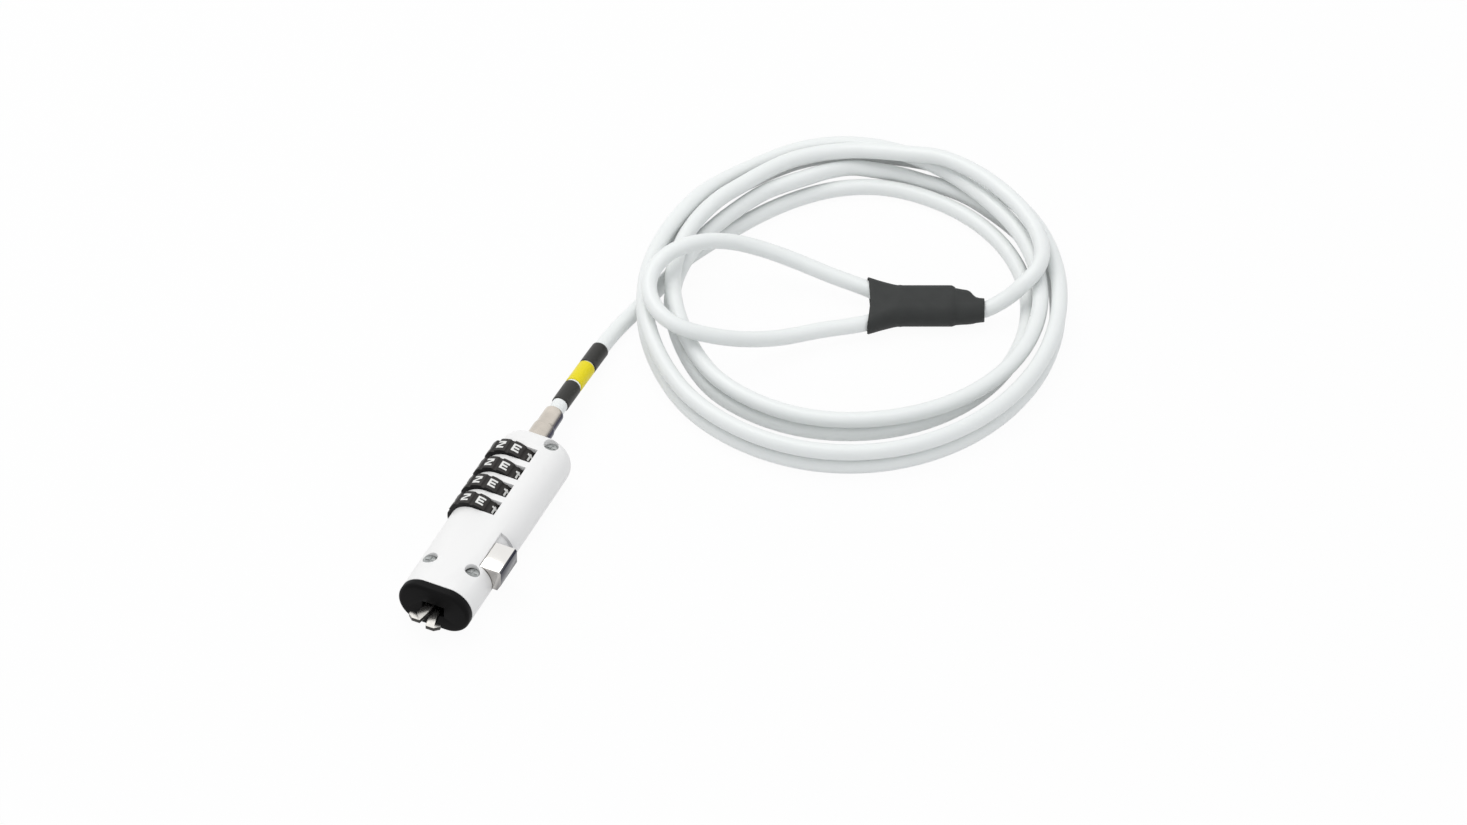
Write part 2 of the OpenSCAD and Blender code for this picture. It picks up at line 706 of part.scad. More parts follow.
// Flat hook arm that turns on the pivot pin; side is 1 for the right claw and -1 for the left
module claw(side, z, pin_side) {
    nose = claw_reach;
    color(steel) lock() {
        difference() {
            union() {
                translate([0, pivot_y, z]) cylinder(h = claw_t, r = hub_r);
                translate([0, 0, z]) linear_extrude(height = claw_t) polygon(side > 0
                    ? claw_outline(nose) : [for (p = claw_outline(nose)) [-p[0], p[1]]]);
            }
            translate([0, pivot_y, z - over]) cylinder(h = claw_t + 2 * over, d = pivot_d + 2 * run);
        }
        translate([pin_side * tail_x, pivot_y + tail_l, drive_low])
            cylinder(h = z - drive_low, d = drive_d);
    }
}

// Outline of the right claw from above: tail, arm and hook, round the pivot
tail_half_w = 0.7;
function claw_outline(nose) = [
    [-tail_x - tail_half_w, pivot_y + tail_l + tail_half_w], [-tail_x - tail_half_w, pivot_y + tail_l - 1],
    [-1.5, pivot_y + 0.8], [-0.7, cap_l], [-0.1, -nose / 3], [0.9, -nose], [hook_half - 1.4, -nose],
    [hook_half, 1.2 - nose], [hook_half, 2.2 - nose], [hook_half - 1.9, 2.2 - nose], [2.3, -0.5],
    [1.8, cap_l], [1.5, pivot_y - 0.8], [0.3, pivot_y + 1.6],
    [-tail_x + tail_half_w, pivot_y + tail_l + tail_half_w]];

module claw_left() {
    claw(-1, claw_high_z, 1);
}

module claw_right() {
    claw(1, claw_low_z, -1);
}

module claw_pivot_pin() {
    color(steel) lock() translate([0, pivot_y, pin_low]) cylinder(h = pin_high - pin_low, d = pivot_d);
}

// Ferrule on the end of the cable; its head turns in the body and its rear end is crimped
module swivel_stub() {
    crimp_start = body_l + stub_l - 7;
    taper_l = 1;
    collar_y = body_l + 0.25;
    color(chrome) lock() translate([-stub_offset, 0, mid_z]) difference() {
        union() {
            drum(head_y, head_y + head_t, stub_d / 2);
            drum(head_y + head_t, collar_y, neck_d / 2);
            drum(collar_y, crimp_start, stub_d / 2);
            translate([0, crimp_start + taper_l, 0]) rotate([90, 0, 0])
                cylinder(h = taper_l, d1 = stub_crimp_d, d2 = stub_d);
            drum(crimp_start + taper_l, body_l + stub_l, stub_crimp_d / 2);
        }
        drum(body_l + stub_l - stub_bore_l, body_l + stub_l + over, cable_d / 2 + run);
    }
}

// Solid swept along points with a ring of corners at each; every face is a triangle
module wire(p, r, sides) {
    n = len(p);
    points = [for (i = [0 : n - 1]) each ring(p[i], route_way(p, i), r, sides)];
    skin = [for (i = [0 : n - 2]) for (k = [0 : sides - 1]) let (
        a = i * sides + k, b = i * sides + (k + 1) % sides)
        each [[a, a + sides, b], [b, a + sides, b + sides]]];
    start = [for (k = [1 : sides - 2]) [0, k, k + 1]];
    end = [for (k = [1 : sides - 2]) [(n - 1) * sides, (n - 1) * sides + k + 1, (n - 1) * sides + k]];
    polyhedron(points = points, faces = concat(skin, start, end));
}

// Short tube round the straight stretch of the lead after point i
module band(i, tint) {
    a = lead_points[i];
    b = lead_points[i + 1];
    w = unit(b - a);
    length = norm(b - a) - 2 * play;
    color(tint) translate(a + play * w) rotate([0, 0, atan2(w[1], w[0])])
        rotate([0, acos(w[2]), 0]) difference() {
            cylinder(h = length, r = cable_d / 2 + fit + band_t);
            translate([0, 0, -over]) cylinder(h = length + 2 * over, r = cable_d / 2 + fit);
        }
}

module band_front() {
    band(2, black);
}

module band_middle() {
    band(3, yellow);
}

module band_rear() {
    band(4, black);
}

module cable_lead() {
    color(vinyl) wire(lead_route, cable_d / 2, 8);
}

module cable_coil() {
    color(vinyl) wire(coil_points, cable_d / 2, 6);
}

module cable_tail() {
    color(vinyl) wire(tail_route, cable_d / 2, 8);
}

module cable_eye() {
    color(vinyl) wire(eye_route, cable_d / 2, 8);
}

// Children in the splice's own frame, x along its two lanes of cable
module on_splice() {
    translate([splice[0], splice[1], splice_z]) rotate([0, 0, splice_turn]) children();
}

crimp_h = cable_d + 2 * crimp_wall;
crimp_w = crimp_h + 2 * lane_half;

// Double ferrule pressed over both lanes of cable
module crimp_ferrule() {
    color("#8F9094") on_splice() translate([-crimp_l / 2, 0, 0]) rotate([90, 0, 90])
        linear_extrude(height = crimp_l) difference() {
            union() {
                square([2 * lane_half, crimp_h], center = true);
                translate([lane_half, 0]) half_disc(crimp_h / 2, true);
                translate([-lane_half, 0]) half_disc(crimp_h / 2, false);
            }
            for (s = [-1, 1]) translate([s * lane_half, 0]) circle(r = cable_d / 2 + run);
        }
}

// Thin round slab across the sleeve, w wide and h high, its middle at v and z
module sleeve_slab(u, v, z, w, h) {
    translate([u, v, z]) rotate([0, 90, 0]) hull() {
        for (s = [-1, 1]) translate([0, s * (w - h) / 2, -0.05]) cylinder(h = 0.1, d = h, $fn = 28);
    }
}

module shrink_sleeve() {
    main_w = crimp_w + 2 * shrink_t;
    main_h = crimp_h + 2 * shrink_t;
    end_d = cable_d + 2.1;
    flare_h = cable_d + 2 * shrink_t;
    flare_w = far_spread - near_spread + flare_h;
    flare_mid = (far_spread + near_spread) / 2;
    color(charcoal) difference() {
        on_splice() {
            hull() {
                sleeve_slab(sleeve_left + 0.05, flare_mid, 0.4, flare_w, flare_h);
                sleeve_slab(-8.5, 0, 0, main_w, main_h);
            }
            hull() {
                sleeve_slab(-8.5, 0, 0, main_w, main_h);
                sleeve_slab(8, -0.2, 0, main_w - 0.4, main_h);
            }
            hull() {
                sleeve_slab(8, -0.2, 0, main_w - 0.4, main_h);
                sleeve_slab(12, -1.6, 0, main_w - 4, main_h - 0.8);
                sleeve_slab(sleeve_right - 0.05, -2.1, 0.3, end_d + 0.01, end_d);
            }
        }
        on_splice() translate([-crimp_l / 2 - fit, 0, 0]) rotate([90, 0, 90])
            linear_extrude(height = crimp_l + 2 * fit)
                square([crimp_w + 2 * fit, crimp_h + 2 * fit], center = true);
        wire(concat([tail_points[len(tail_points) - 1]], splice_in, [lane_mid]), cable_d / 2 + run, 8);
        wire(concat([lane_mid, lane_ends[0]], leg_near, [eye_points[0]]), cable_d / 2 + run, 8);
        wire(concat([eye_points[len(eye_points) - 1]], leg_far, [lane_ends[1], lane_ends[2]]),
            cable_d / 2 + run, 8);
    }
}

upper_shell();
lower_shell();
front_cap();
case_screws();
front_end_plate();
rear_end_plate();
dial_shaft();
dial(0);  // dial_1
dial(1);  // dial_2
dial(2);  // dial_3
dial(3);  // dial_4
code_ring(0);  // code_ring_1
code_ring(1);  // code_ring_2
code_ring(2);  // code_ring_3
code_ring(3);  // code_ring_4
spacer_washers();
detent_spring();
locking_comb();
slide_button();
slide_plate();
return_spring();
claw_left();
claw_right();
claw_pivot_pin();
swivel_stub();
band_front();
band_middle();
band_rear();
cable_lead();
cable_coil();
cable_tail();
cable_eye();
crimp_ferrule();
shrink_sleeve();
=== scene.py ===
"""Looks of a combination cable lock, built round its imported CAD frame.

Each sub-assembly is a class that models its pieces and dresses them, each finish is a frozen
dataclass that makes one material, and main() builds them in order. The sizes that a class of the
lock holds are in millimetres. The studio's sizes and what the functions take are in metres, in
the CAD frame: +Z up, -Y out of the claws, +X towards the slide button.
"""

import json
import logging
import math
from dataclasses import dataclass, field
from enum import Enum
from typing import Dict, Iterable, List, Optional, Sequence, Tuple

import bmesh
import bpy
import numpy as np
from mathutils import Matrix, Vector

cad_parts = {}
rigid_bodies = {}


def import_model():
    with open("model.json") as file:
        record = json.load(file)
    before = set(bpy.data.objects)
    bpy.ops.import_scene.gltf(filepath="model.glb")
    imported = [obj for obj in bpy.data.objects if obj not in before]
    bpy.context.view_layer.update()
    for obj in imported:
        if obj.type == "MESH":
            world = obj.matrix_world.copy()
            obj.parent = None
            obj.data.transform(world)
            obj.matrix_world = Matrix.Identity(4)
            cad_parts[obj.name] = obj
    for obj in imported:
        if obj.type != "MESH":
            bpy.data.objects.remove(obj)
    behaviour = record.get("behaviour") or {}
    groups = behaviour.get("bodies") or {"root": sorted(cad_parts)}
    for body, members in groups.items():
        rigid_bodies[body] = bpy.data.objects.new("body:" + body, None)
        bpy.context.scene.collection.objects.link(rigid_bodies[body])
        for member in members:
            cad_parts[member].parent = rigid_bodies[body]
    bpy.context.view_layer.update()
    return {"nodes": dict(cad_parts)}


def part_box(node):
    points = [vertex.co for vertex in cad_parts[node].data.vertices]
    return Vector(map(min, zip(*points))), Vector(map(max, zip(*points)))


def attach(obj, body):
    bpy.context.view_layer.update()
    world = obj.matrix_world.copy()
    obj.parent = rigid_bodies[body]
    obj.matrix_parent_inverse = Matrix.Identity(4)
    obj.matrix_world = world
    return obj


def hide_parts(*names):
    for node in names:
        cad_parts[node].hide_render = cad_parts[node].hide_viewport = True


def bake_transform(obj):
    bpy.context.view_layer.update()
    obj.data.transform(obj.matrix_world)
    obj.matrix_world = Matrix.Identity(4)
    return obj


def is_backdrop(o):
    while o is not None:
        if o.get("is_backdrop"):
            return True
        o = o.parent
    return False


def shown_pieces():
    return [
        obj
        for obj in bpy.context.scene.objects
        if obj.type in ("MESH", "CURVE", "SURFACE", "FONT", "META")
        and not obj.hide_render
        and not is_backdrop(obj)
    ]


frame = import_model()

LOG = logging.getLogger("cable_lock")
Point = Tuple[float, float, float]
Flat = Tuple[float, float]
Colour = Tuple[float, float, float]
Tree = bpy.types.NodeTree
Socket = bpy.types.NodeSocket
MM = 0.001
UP = Vector((0.0, 0.0, 1.0))
REARWARD = Vector((0.0, 1.0, 0.0))


# ---------------------------------------------------------------- sizes shared by the classes


@dataclass(frozen=True)
class LockSizes:
    """Sizes of the lock body in millimetres, as the CAD source has them."""

    body_l: float = 68.0
    body_w: float = 21.5
    body_h: float = 14.0
    wall: float = 1.5
    cap_l: float = 2.8
    rear_r: float = 4.5
    rear_wall: float = 3.5
    dial_r: float = 7.5
    dial_w: float = 4.9
    dial_pitch: float = 7.5
    dial_y: float = 36.3
    dial_x: float = -4.4
    dial_z: float = 7.6
    dial_n: int = 4
    digit_n: int = 10
    window_x: float = 2.4
    window_gap: float = 0.2
    button_y: float = 15.2
    button_in: float = 7.0
    button_low: float = 5.7
    pocket_end: float = 29.0
    pocket_depth: float = 1.1
    stub_x: float = -2.7
    lock_x: float = -0.75
    front_y: float = -30.75
    screw_spots: Tuple[Flat, ...] = ((-6.5, 11.9), (6.1, 12.3), (4.75, 65.1))

    @property
    def mid_z(self) -> float:
        """Height of the parting line."""
        return self.body_h / 2

    @property
    def side_r(self) -> float:
        """Radius of the body's round sides."""
        return self.body_h / 2

    @property
    def flat_half(self) -> float:
        """Half of the width of the flat top."""
        return (self.body_w - self.body_h) / 2

    def at(self, x: float, y: float, z: float) -> Vector:
        """A point of the lock's own frame, in millimetres, as a point of the CAD frame in metres.

        Args:
            x: Distance from the body's centreline.
            y: Distance from the cap's front face.
            z: Height above the table.

        Returns:
            The point in metres.
        """
        return Vector(((x + self.lock_x) * MM, (y + self.front_y) * MM, z * MM))


LOCK = LockSizes()


# ---------------------------------------------------------------- materials


# Octaves of the noise in a finish's colour, gloss and surface
SHADE_OCTAVES, GLOSS_OCTAVES, BUMP_OCTAVES = 4.0, 3.0, 5.0


def node_tree(material: bpy.types.Material) -> Tree:
    """The node tree of a new material, switched on.

    Args:
        material: The material.

    Returns:
        Its node tree.
    """
    material.use_nodes = True
    return material.node_tree


@dataclass(frozen=True)
class Finish:
    """A finish made of a Principled shader with noise in its colour, gloss and surface, and with
    painted shade where it is given a dark tone.
    """

    name: str
    colour: Colour
    roughness: float = 0.4
    metallic: float = 0.0
    specular: float = 0.5
    shade: float = 0.04
    shade_scale: float = 120.0
    gloss_spread: float = 0.05
    gloss_scale: float = 300.0
    gloss_least: float = 0.02
    bump_scale: float = 1500.0
    bump_height: float = 0.00001
    bump_strength: float = 0.5
    stretch: Point = (1.0, 1.0, 1.0)
    anisotropic: float = 0.0
    subsurface: float = 0.0
    subsurface_reach: Point = (0.0012, 0.0012, 0.0011)
    # Painted shade: a darker colour painted on the faces that turn away from light_way, softened
    # over a band; it stands in for shade and, on metal, for dark reflections
    painted_shade_tone: Optional[Colour] = None
    painted_shade_edge: float = 0.0
    painted_shade_soft: float = 0.2
    light_way: Point = (-0.45, -0.15, 0.88)

    @property
    def label(self) -> str:
        """The material's name, which no plain material of the CAD frame has."""
        return f"{self.name}_finish"

    def build(self) -> bpy.types.Material:
        """Makes the material.

        Returns:
            The material, with its colour, gloss and bump all varied on Object coordinates.
        """
        material = bpy.data.materials.new(self.label)
        tree = node_tree(material)
        nodes, links = tree.nodes, tree.links
        shader = nodes["Principled BSDF"]
        shader.inputs["Metallic"].default_value = self.metallic
        shader.inputs["Specular IOR Level"].default_value = self.specular
        shader.inputs["Anisotropic"].default_value = self.anisotropic
        if self.subsurface:
            shader.inputs["Subsurface Weight"].default_value = self.subsurface
            shader.inputs["Subsurface Radius"].default_value = self.subsurface_reach
            shader.inputs["Subsurface Scale"].default_value = 1.0

        coordinates = nodes.new("ShaderNodeTexCoord")
        mapping = nodes.new("ShaderNodeMapping")
        mapping.inputs["Scale"].default_value = self.stretch
        links.new(coordinates.outputs["Object"], mapping.inputs["Vector"])
        place = mapping.outputs["Vector"]

        links.new(self._colour(tree, place), shader.inputs["Base Color"])
        links.new(self._gloss(tree, place), shader.inputs["Roughness"])
        links.new(self._bump(tree, place), shader.inputs["Normal"])
        return material

    def _noise(self, tree: Tree, place: Socket, scale: float, detail: float) -> Socket:
        """A noise texture.

        Args:
            tree: The material's nodes.
            place: The coordinates that it reads.
            scale: Its scale, in cells a metre.
            detail: Its octaves.

        Returns:
            Its factor.
        """
        noise = tree.nodes.new("ShaderNodeTexNoise")
        noise.inputs["Scale"].default_value = scale
        noise.inputs["Detail"].default_value = detail
        tree.links.new(place, noise.inputs["Vector"])
        return noise.outputs["Fac"]

    def _colour(self, tree: Tree, place: Socket) -> Socket:
        """The base colour, a little darker where the noise is low, with painted shade on the faces
        turned away from the light where the finish has a dark tone.

        Args:
            tree: The material's nodes.
            place: The coordinates that it reads.

        Returns:
            The colour.
        """
        mix = tree.nodes.new("ShaderNodeMix")
        mix.data_type = "RGBA"
        dark = tuple(c * (1.0 - self.shade) for c in self.colour)
        mix.inputs["A"].default_value = (*dark, 1.0)
        mix.inputs["B"].default_value = (*self.colour, 1.0)
        patches = self._noise(tree, place, self.shade_scale, SHADE_OCTAVES)
        tree.links.new(patches, mix.inputs["Factor"])
        if self.painted_shade_tone is None:
            return mix.outputs["Result"]
        return self._painted_shade(tree, mix.outputs["Result"])

    def _painted_shade(self, tree: Tree, colour: Socket) -> Socket:
        """Painted shade: the dark tone on what faces away from light_way, mixed with the colour of
        the rest.

        Args:
            tree: The material's nodes.
            colour: The colour of the lit side.

        Returns:
            The colour, by the direction that the piece's own surface faces.
        """
        nodes, links = tree.nodes, tree.links
        facing = nodes.new("ShaderNodeTexCoord")
        along = nodes.new("ShaderNodeVectorMath")
        along.operation = "DOT_PRODUCT"
        along.inputs[1].default_value = self.light_way
        links.new(facing.outputs["Normal"], along.inputs[0])
        level = nodes.new("ShaderNodeMapRange")
        level.interpolation_type = "SMOOTHSTEP"
        level.inputs["From Min"].default_value = self.painted_shade_edge - self.painted_shade_soft
        level.inputs["From Max"].default_value = self.painted_shade_edge + self.painted_shade_soft
        links.new(along.outputs["Value"], level.inputs["Value"])
        mix = nodes.new("ShaderNodeMix")
        mix.data_type = "RGBA"
        mix.inputs["A"].default_value = (*self.painted_shade_tone, 1.0)
        links.new(colour, mix.inputs["B"])
        links.new(level.outputs["Result"], mix.inputs["Factor"])
        return mix.outputs["Result"]

    def _gloss(self, tree: Tree, place: Socket) -> Socket:
        """The roughness, spread a little by a finer noise.

        Args:
            tree: The material's nodes.
            place: The coordinates that it reads.

        Returns:
            The roughness.
        """
        spread = tree.nodes.new("ShaderNodeMapRange")
        least = max(self.roughness - self.gloss_spread, self.gloss_least)
        spread.inputs["To Min"].default_value = least
        spread.inputs["To Max"].default_value = self.roughness + self.gloss_spread
        wear = self._noise(tree, place, self.gloss_scale, GLOSS_OCTAVES)
        tree.links.new(wear, spread.inputs["Value"])
        return spread.outputs["Result"]

    def _bump(self, tree: Tree, place: Socket) -> Socket:
        """The fine surface, such as orange peel or grain.

        Args:
            tree: The material's nodes.
            place: The coordinates that it reads.

        Returns:
            The shading normal.
        """
        bump = tree.nodes.new("ShaderNodeBump")
        bump.inputs["Strength"].default_value = self.bump_strength
        bump.inputs["Distance"].default_value = self.bump_height
        grain = self._noise(tree, place, self.bump_scale, BUMP_OCTAVES)
        tree.links.new(grain, bump.inputs["Height"])
        return bump.outputs["Normal"]


# Finishes that belong to a slot of another name
SHARED_SLOTS: Dict[str, str] = {
    "digit_white": "dial_black", "nickel": "steel", "zinc": "steel", "painted_reflection_chrome": "chrome"}


class Paint(Enum):
    """The finishes of the lock's pieces."""

    WHITE_PAINT = Finish("white_paint", (0.875, 0.868, 0.862), 0.36, specular=0.3, shade=0.015,
                         bump_scale=900.0, bump_height=0.000012)
    BLACK_PLASTIC = Finish("black_plastic", (0.0060, 0.0058, 0.0060), 0.48, specular=0.07,
                           shade=0.25, bump_scale=2600.0, bump_height=0.00002)
    # Painted shade: the dials' flat faces that look towards the claws are painted near black,
    # darker than their rims
    DIAL_BLACK = Finish("dial_black", (0.034, 0.031, 0.029), 0.46, specular=0.2, shade=0.35,
                        bump_scale=2400.0, bump_height=0.000015, painted_shade_tone=(0.006, 0.006, 0.006),
                        painted_shade_edge=-0.5, painted_shade_soft=0.3, light_way=(0.0, 1.0, 0.0))
    STEEL = Finish("steel", (0.50, 0.49, 0.47), 0.30, metallic=1.0, shade=0.18, shade_scale=400.0,
                   gloss_spread=0.09, bump_scale=1800.0, bump_height=0.00002,
                   stretch=(1.0, 0.18, 1.0), anisotropic=0.3)
    ZINC = Finish("zinc", (0.40, 0.415, 0.41), 0.5, metallic=0.5, shade=0.35, shade_scale=700.0,
                  gloss_spread=0.1, bump_scale=1500.0, bump_height=0.00003)
    # Painted reflection: the button's sides that turn away from the light are painted dark navy,
    # standing in for the dark surroundings that the chrome reflects
    CHROME = Finish("chrome", (0.90, 0.872, 0.835), 0.12, metallic=1.0, shade=0.10,
                    gloss_spread=0.04, bump_scale=500.0, bump_height=0.000004,
                    painted_shade_tone=(0.022, 0.023, 0.038), painted_shade_edge=0.24, painted_shade_soft=0.26,
                    light_way=(-0.62, -0.3, 0.72))
    # Painted reflection: the ferrule's warm beige tone, its darker tan patches and its dark navy
    # side stand in for what the chrome reflects
    CRIMPED_CHROME = Finish("painted_reflection_chrome", (0.82, 0.745, 0.655), 0.2, metallic=1.0, shade=0.42,
                            shade_scale=230.0, gloss_spread=0.06, bump_scale=600.0,
                            bump_height=0.00001, painted_shade_tone=(0.022, 0.023, 0.05), painted_shade_edge=0.12,
                            painted_shade_soft=0.3)
    # Painted shade: the claws' sides that turn away from the light are painted dark grey, their
    # tops left bright
    NICKEL = Finish("nickel", (0.40, 0.39, 0.372), 0.24, metallic=1.0, shade=0.45,
                    shade_scale=650.0, gloss_spread=0.06, bump_scale=900.0, bump_height=0.00001,
                    painted_shade_tone=(0.06, 0.058, 0.055), painted_shade_edge=0.56, painted_shade_soft=0.35)
    WHITE_VINYL = Finish("white_vinyl", (0.848, 0.868, 0.860), 0.30, specular=0.4, shade=0.02,
                         bump_scale=500.0, bump_height=0.00002, subsurface=0.08)
    BAND_BLACK = Finish("band_black", (0.030, 0.029, 0.026), 0.42, specular=0.3, shade=0.15,
                        bump_scale=1500.0, bump_height=0.00001)
    BAND_YELLOW = Finish("band_yellow", (0.83, 0.70, 0.006), 0.40, specular=0.3, shade=0.08,
                         bump_scale=1500.0, bump_height=0.00001)
    CRIMP_METAL = Finish("crimp_metal", (0.56, 0.57, 0.58), 0.36, metallic=1.0, shade=0.1)
    SHRINK_RUBBER = Finish("shrink_rubber", (0.036, 0.038, 0.037), 0.60, specular=0.25, shade=0.25,
                           shade_scale=260.0, gloss_spread=0.1, bump_scale=700.0,
                           bump_height=0.00005)
    DIGIT_WHITE = Finish("digit_white", (0.82, 0.82, 0.80), 0.45, shade=0.08, bump_scale=2200.0)

    @property
    def slot(self) -> str:
        """The record's name of the slot that the finish belongs to."""
        return SHARED_SLOTS.get(self.value.name, self.value.name)

    @property
    def material(self) -> bpy.types.Material:
        """The finish's material, made at its first use."""
        return bpy.data.materials.get(self.value.label) or self.value.build()

    def dress(self, *pieces: bpy.types.Object) -> None:
        """Gives pieces this finish.

        Args:
            pieces: The objects.
        """
        for piece in pieces:
            piece.data.materials.clear()
            piece.data.materials.append(self.material)

    def dress_nodes(self, *names: str) -> None:
        """Gives CAD nodes this finish in their own material slots.

        Args:
            names: The nodes' names.
        """
        for name in names:
            node = frame["nodes"][name]
            for place in node.material_slots:
                place.material = self.material


# ---------------------------------------------------------------- modelling helpers


# Points nearer than this many metres are one, in a new mesh and in a CAD node's mesh
WELD = 1e-6
NODE_WELD = 2e-6
# Points nearer to a corner than this many metres belong to it
CORNER_REACH = 1e-5
# Faces of a CAD node's mesh that meet at less than this many degrees are one flat face
FLAT_ANGLE = 1.0
# Samples of a spline for each step of the even line that is taken from it
SPLINE_SAMPLES = 4
# The least length that a division is made by
TINY = 1e-9


class Combine(Enum):
    """The ways in which one shape changes another."""

    CUT = "DIFFERENCE"
    JOIN = "UNION"
    KEEP = "INTERSECT"


def deselect() -> None:
    """Leaves nothing selected, in object mode."""
    if bpy.context.object and bpy.context.object.mode != "OBJECT":
        bpy.ops.object.mode_set(mode="OBJECT")
    for thing in list(bpy.context.view_layer.objects):
        if not thing.hide_viewport:
            thing.select_set(False)


def pick(piece: bpy.types.Object) -> None:
    """Makes a piece the only selected and active one.

    Args:
        piece: The object.
    """
    deselect()
    piece.select_set(True)
    bpy.context.view_layer.objects.active = piece


def put(name: str, data: bpy.types.ID) -> bpy.types.Object:
    """Puts a new object into the scene.

    Args:
        name: Its name.
        data: Its mesh, its camera or its lamp.

    Returns:
        The object, at the origin.
    """
    thing = bpy.data.objects.new(name, data)
    bpy.context.scene.collection.objects.link(thing)
    return thing


def settle(piece: bpy.types.Object, name: str) -> bpy.types.Object:
    """Names a piece and puts its place into its mesh.

    Args:
        piece: The object.
        name: Its name.

    Returns:
        The object, which then sits at the origin.
    """
    pick(piece)
    bpy.ops.object.transform_apply(location=True, rotation=True, scale=True)
    piece.name = name
    piece.data.name = name
    return piece


def smooth(piece: bpy.types.Object, angle: float = 32.0) -> None:
    """Shades a piece smooth, with its sharp edges kept.

    Args:
        piece: The object.
        angle: Edges sharper than this many degrees stay sharp.
    """
    pick(piece)
    bpy.ops.object.shade_smooth_by_angle(angle=math.radians(angle))


def clean(piece: bpy.types.Object) -> None:
    """Merges doubled points and turns all faces outwards.

    Args:
        piece: The object.
    """
    pick(piece)
    bpy.ops.object.mode_set(mode="EDIT")
    bpy.ops.mesh.select_all(action="SELECT")
    bpy.ops.mesh.remove_doubles(threshold=WELD)
    bpy.ops.mesh.normals_make_consistent(inside=False)
    bpy.ops.object.mode_set(mode="OBJECT")


def combine(
    piece: bpy.types.Object, other: bpy.types.Object, way: Combine, crossing: bool = False
) -> None:
    """Changes a piece by another shape and deletes that shape.

    Args:
        piece: The object.
        other: The shape.
        way: What the shape does to the piece.
        crossing: Whether the shape is made of bars that run through each other.
    """
    pick(piece)
    tool = piece.modifiers.new("combine", "BOOLEAN")
    tool.operation = way.value
    tool.solver = "EXACT"
    tool.use_self = crossing
    tool.object = other
    bpy.ops.object.modifier_apply(modifier=tool.name)
    bpy.data.objects.remove(other, do_unlink=True)


def cut(piece: bpy.types.Object, cutters: Iterable[bpy.types.Object]) -> None:
    """Takes cutters out of a piece and deletes them.

    Args:
        piece: The object.
        cutters: The shapes to take out.
    """
    for cutter in cutters:
        combine(piece, cutter, Combine.CUT)


def round_edges(
    piece: bpy.types.Object, width: float, segments: int = 2, angle: float = 35.0
) -> None:
    """Rounds the sharp edges of a piece.

    Args:
        piece: The object.
        width: Width of the rounding in metres.
        segments: Its steps.
        angle: Edges sharper than this many degrees are rounded.
    """
    pick(piece)
    bevel = piece.modifiers.new("round", "BEVEL")
    bevel.width = width
    bevel.segments = segments
    bevel.limit_method = "ANGLE"
    bevel.angle_limit = math.radians(angle)
    bevel.harden_normals = False
    bevel.miter_outer = "MITER_ARC"
    bpy.ops.object.modifier_apply(modifier=bevel.name)


def block(low: Vector, high: Vector) -> bpy.types.Object:
    """A box between two corners.

    Args:
        low: Lowest corner in metres.
        high: Highest corner in metres.

    Returns:
        The box.
    """
    deselect()
    bpy.ops.mesh.primitive_cube_add(size=1.0, location=(low + high) / 2)
    box = bpy.context.object
    box.scale = high - low
    return settle(box, "block")


def bar(start: Vector, end: Vector, radius: float, sides: int = 48) -> bpy.types.Object:
    """A round bar between two points.

    Args:
        start: One end's middle, in metres.
        end: The other end's middle.
        radius: Its radius in metres.
        sides: Its sides.

    Returns:
        The bar.
    """
    deselect()
    way = end - start
    bpy.ops.mesh.primitive_cylinder_add(
        vertices=sides, radius=radius, depth=way.length, location=(start + end) / 2,
        rotation=way.to_track_quat("Z", "Y").to_euler())
    return settle(bpy.context.object, "bar")


@dataclass(frozen=True)
class Station:
    """One section of a loft, in millimetres: its place along the axis, its size and its shift."""

    along: float
    wide: float
    high: float
    side: float = 0.0
    rise: float = 0.0
    tilt: float = 0.0


def loft(
    name: str, stations: Sequence[Station], origin: Vector, way: Vector, sides: int = 64
) -> bpy.types.Object:
    """Extrudes a round section, or one with straight top and bottom, station by station.

    Args:
        name: The piece's name.
        stations: The sections, in millimetres.
        origin: Where the axis starts, in metres.
        way: The axis' direction, level with the table.
        sides: Points round a section.

    Returns:
        The piece, at the origin, with its faces outwards.
    """
    deselect()
    bpy.ops.mesh.primitive_circle_add(vertices=sides, radius=1.0, fill_type="NOTHING")
    piece = bpy.context.object
    across = Vector((way.y, -way.x, 0.0)).normalized()
    along = way.normalized()
    ring = [vertex.co.copy() for vertex in piece.data.vertices]

    def place(co: Vector, s: Station) -> Vector:
        """Finds where a point of the unit ring lies in one station.

        Args:
            co: The point of the ring.
            s: The station.

        Returns:
            The point in metres.
        """
        straight = max(s.wide - s.high, 0.0) / 2
        x = co.x * (s.wide / 2 - straight)
        if abs(co.x) > WELD:
            x += math.copysign(straight, co.x)
        z = co.y * s.high / 2 + s.rise + s.tilt * x
        return origin + along * (s.along * MM) + across * ((x + s.side) * MM) + UP * (z * MM)

    for vertex, co in zip(piece.data.vertices, ring):
        vertex.co = place(co, stations[0])
    pick(piece)
    bpy.ops.object.mode_set(mode="EDIT")
    bpy.ops.mesh.select_all(action="SELECT")
    for s in stations[1:]:
        bpy.ops.mesh.extrude_region_move()
        mesh = bmesh.from_edit_mesh(piece.data)
        moved = [v for v in mesh.verts if v.select]
        for vertex, co in zip(moved, ring):
            vertex.co = place(co, s)
        bmesh.update_edit_mesh(piece.data)
    bpy.ops.mesh.select_all(action="DESELECT")
    bpy.ops.mesh.select_non_manifold()
    bpy.ops.mesh.edge_face_add()
    bpy.ops.object.mode_set(mode="OBJECT")
    clean(piece)
    piece.name = name
    piece.data.name = name
    return piece


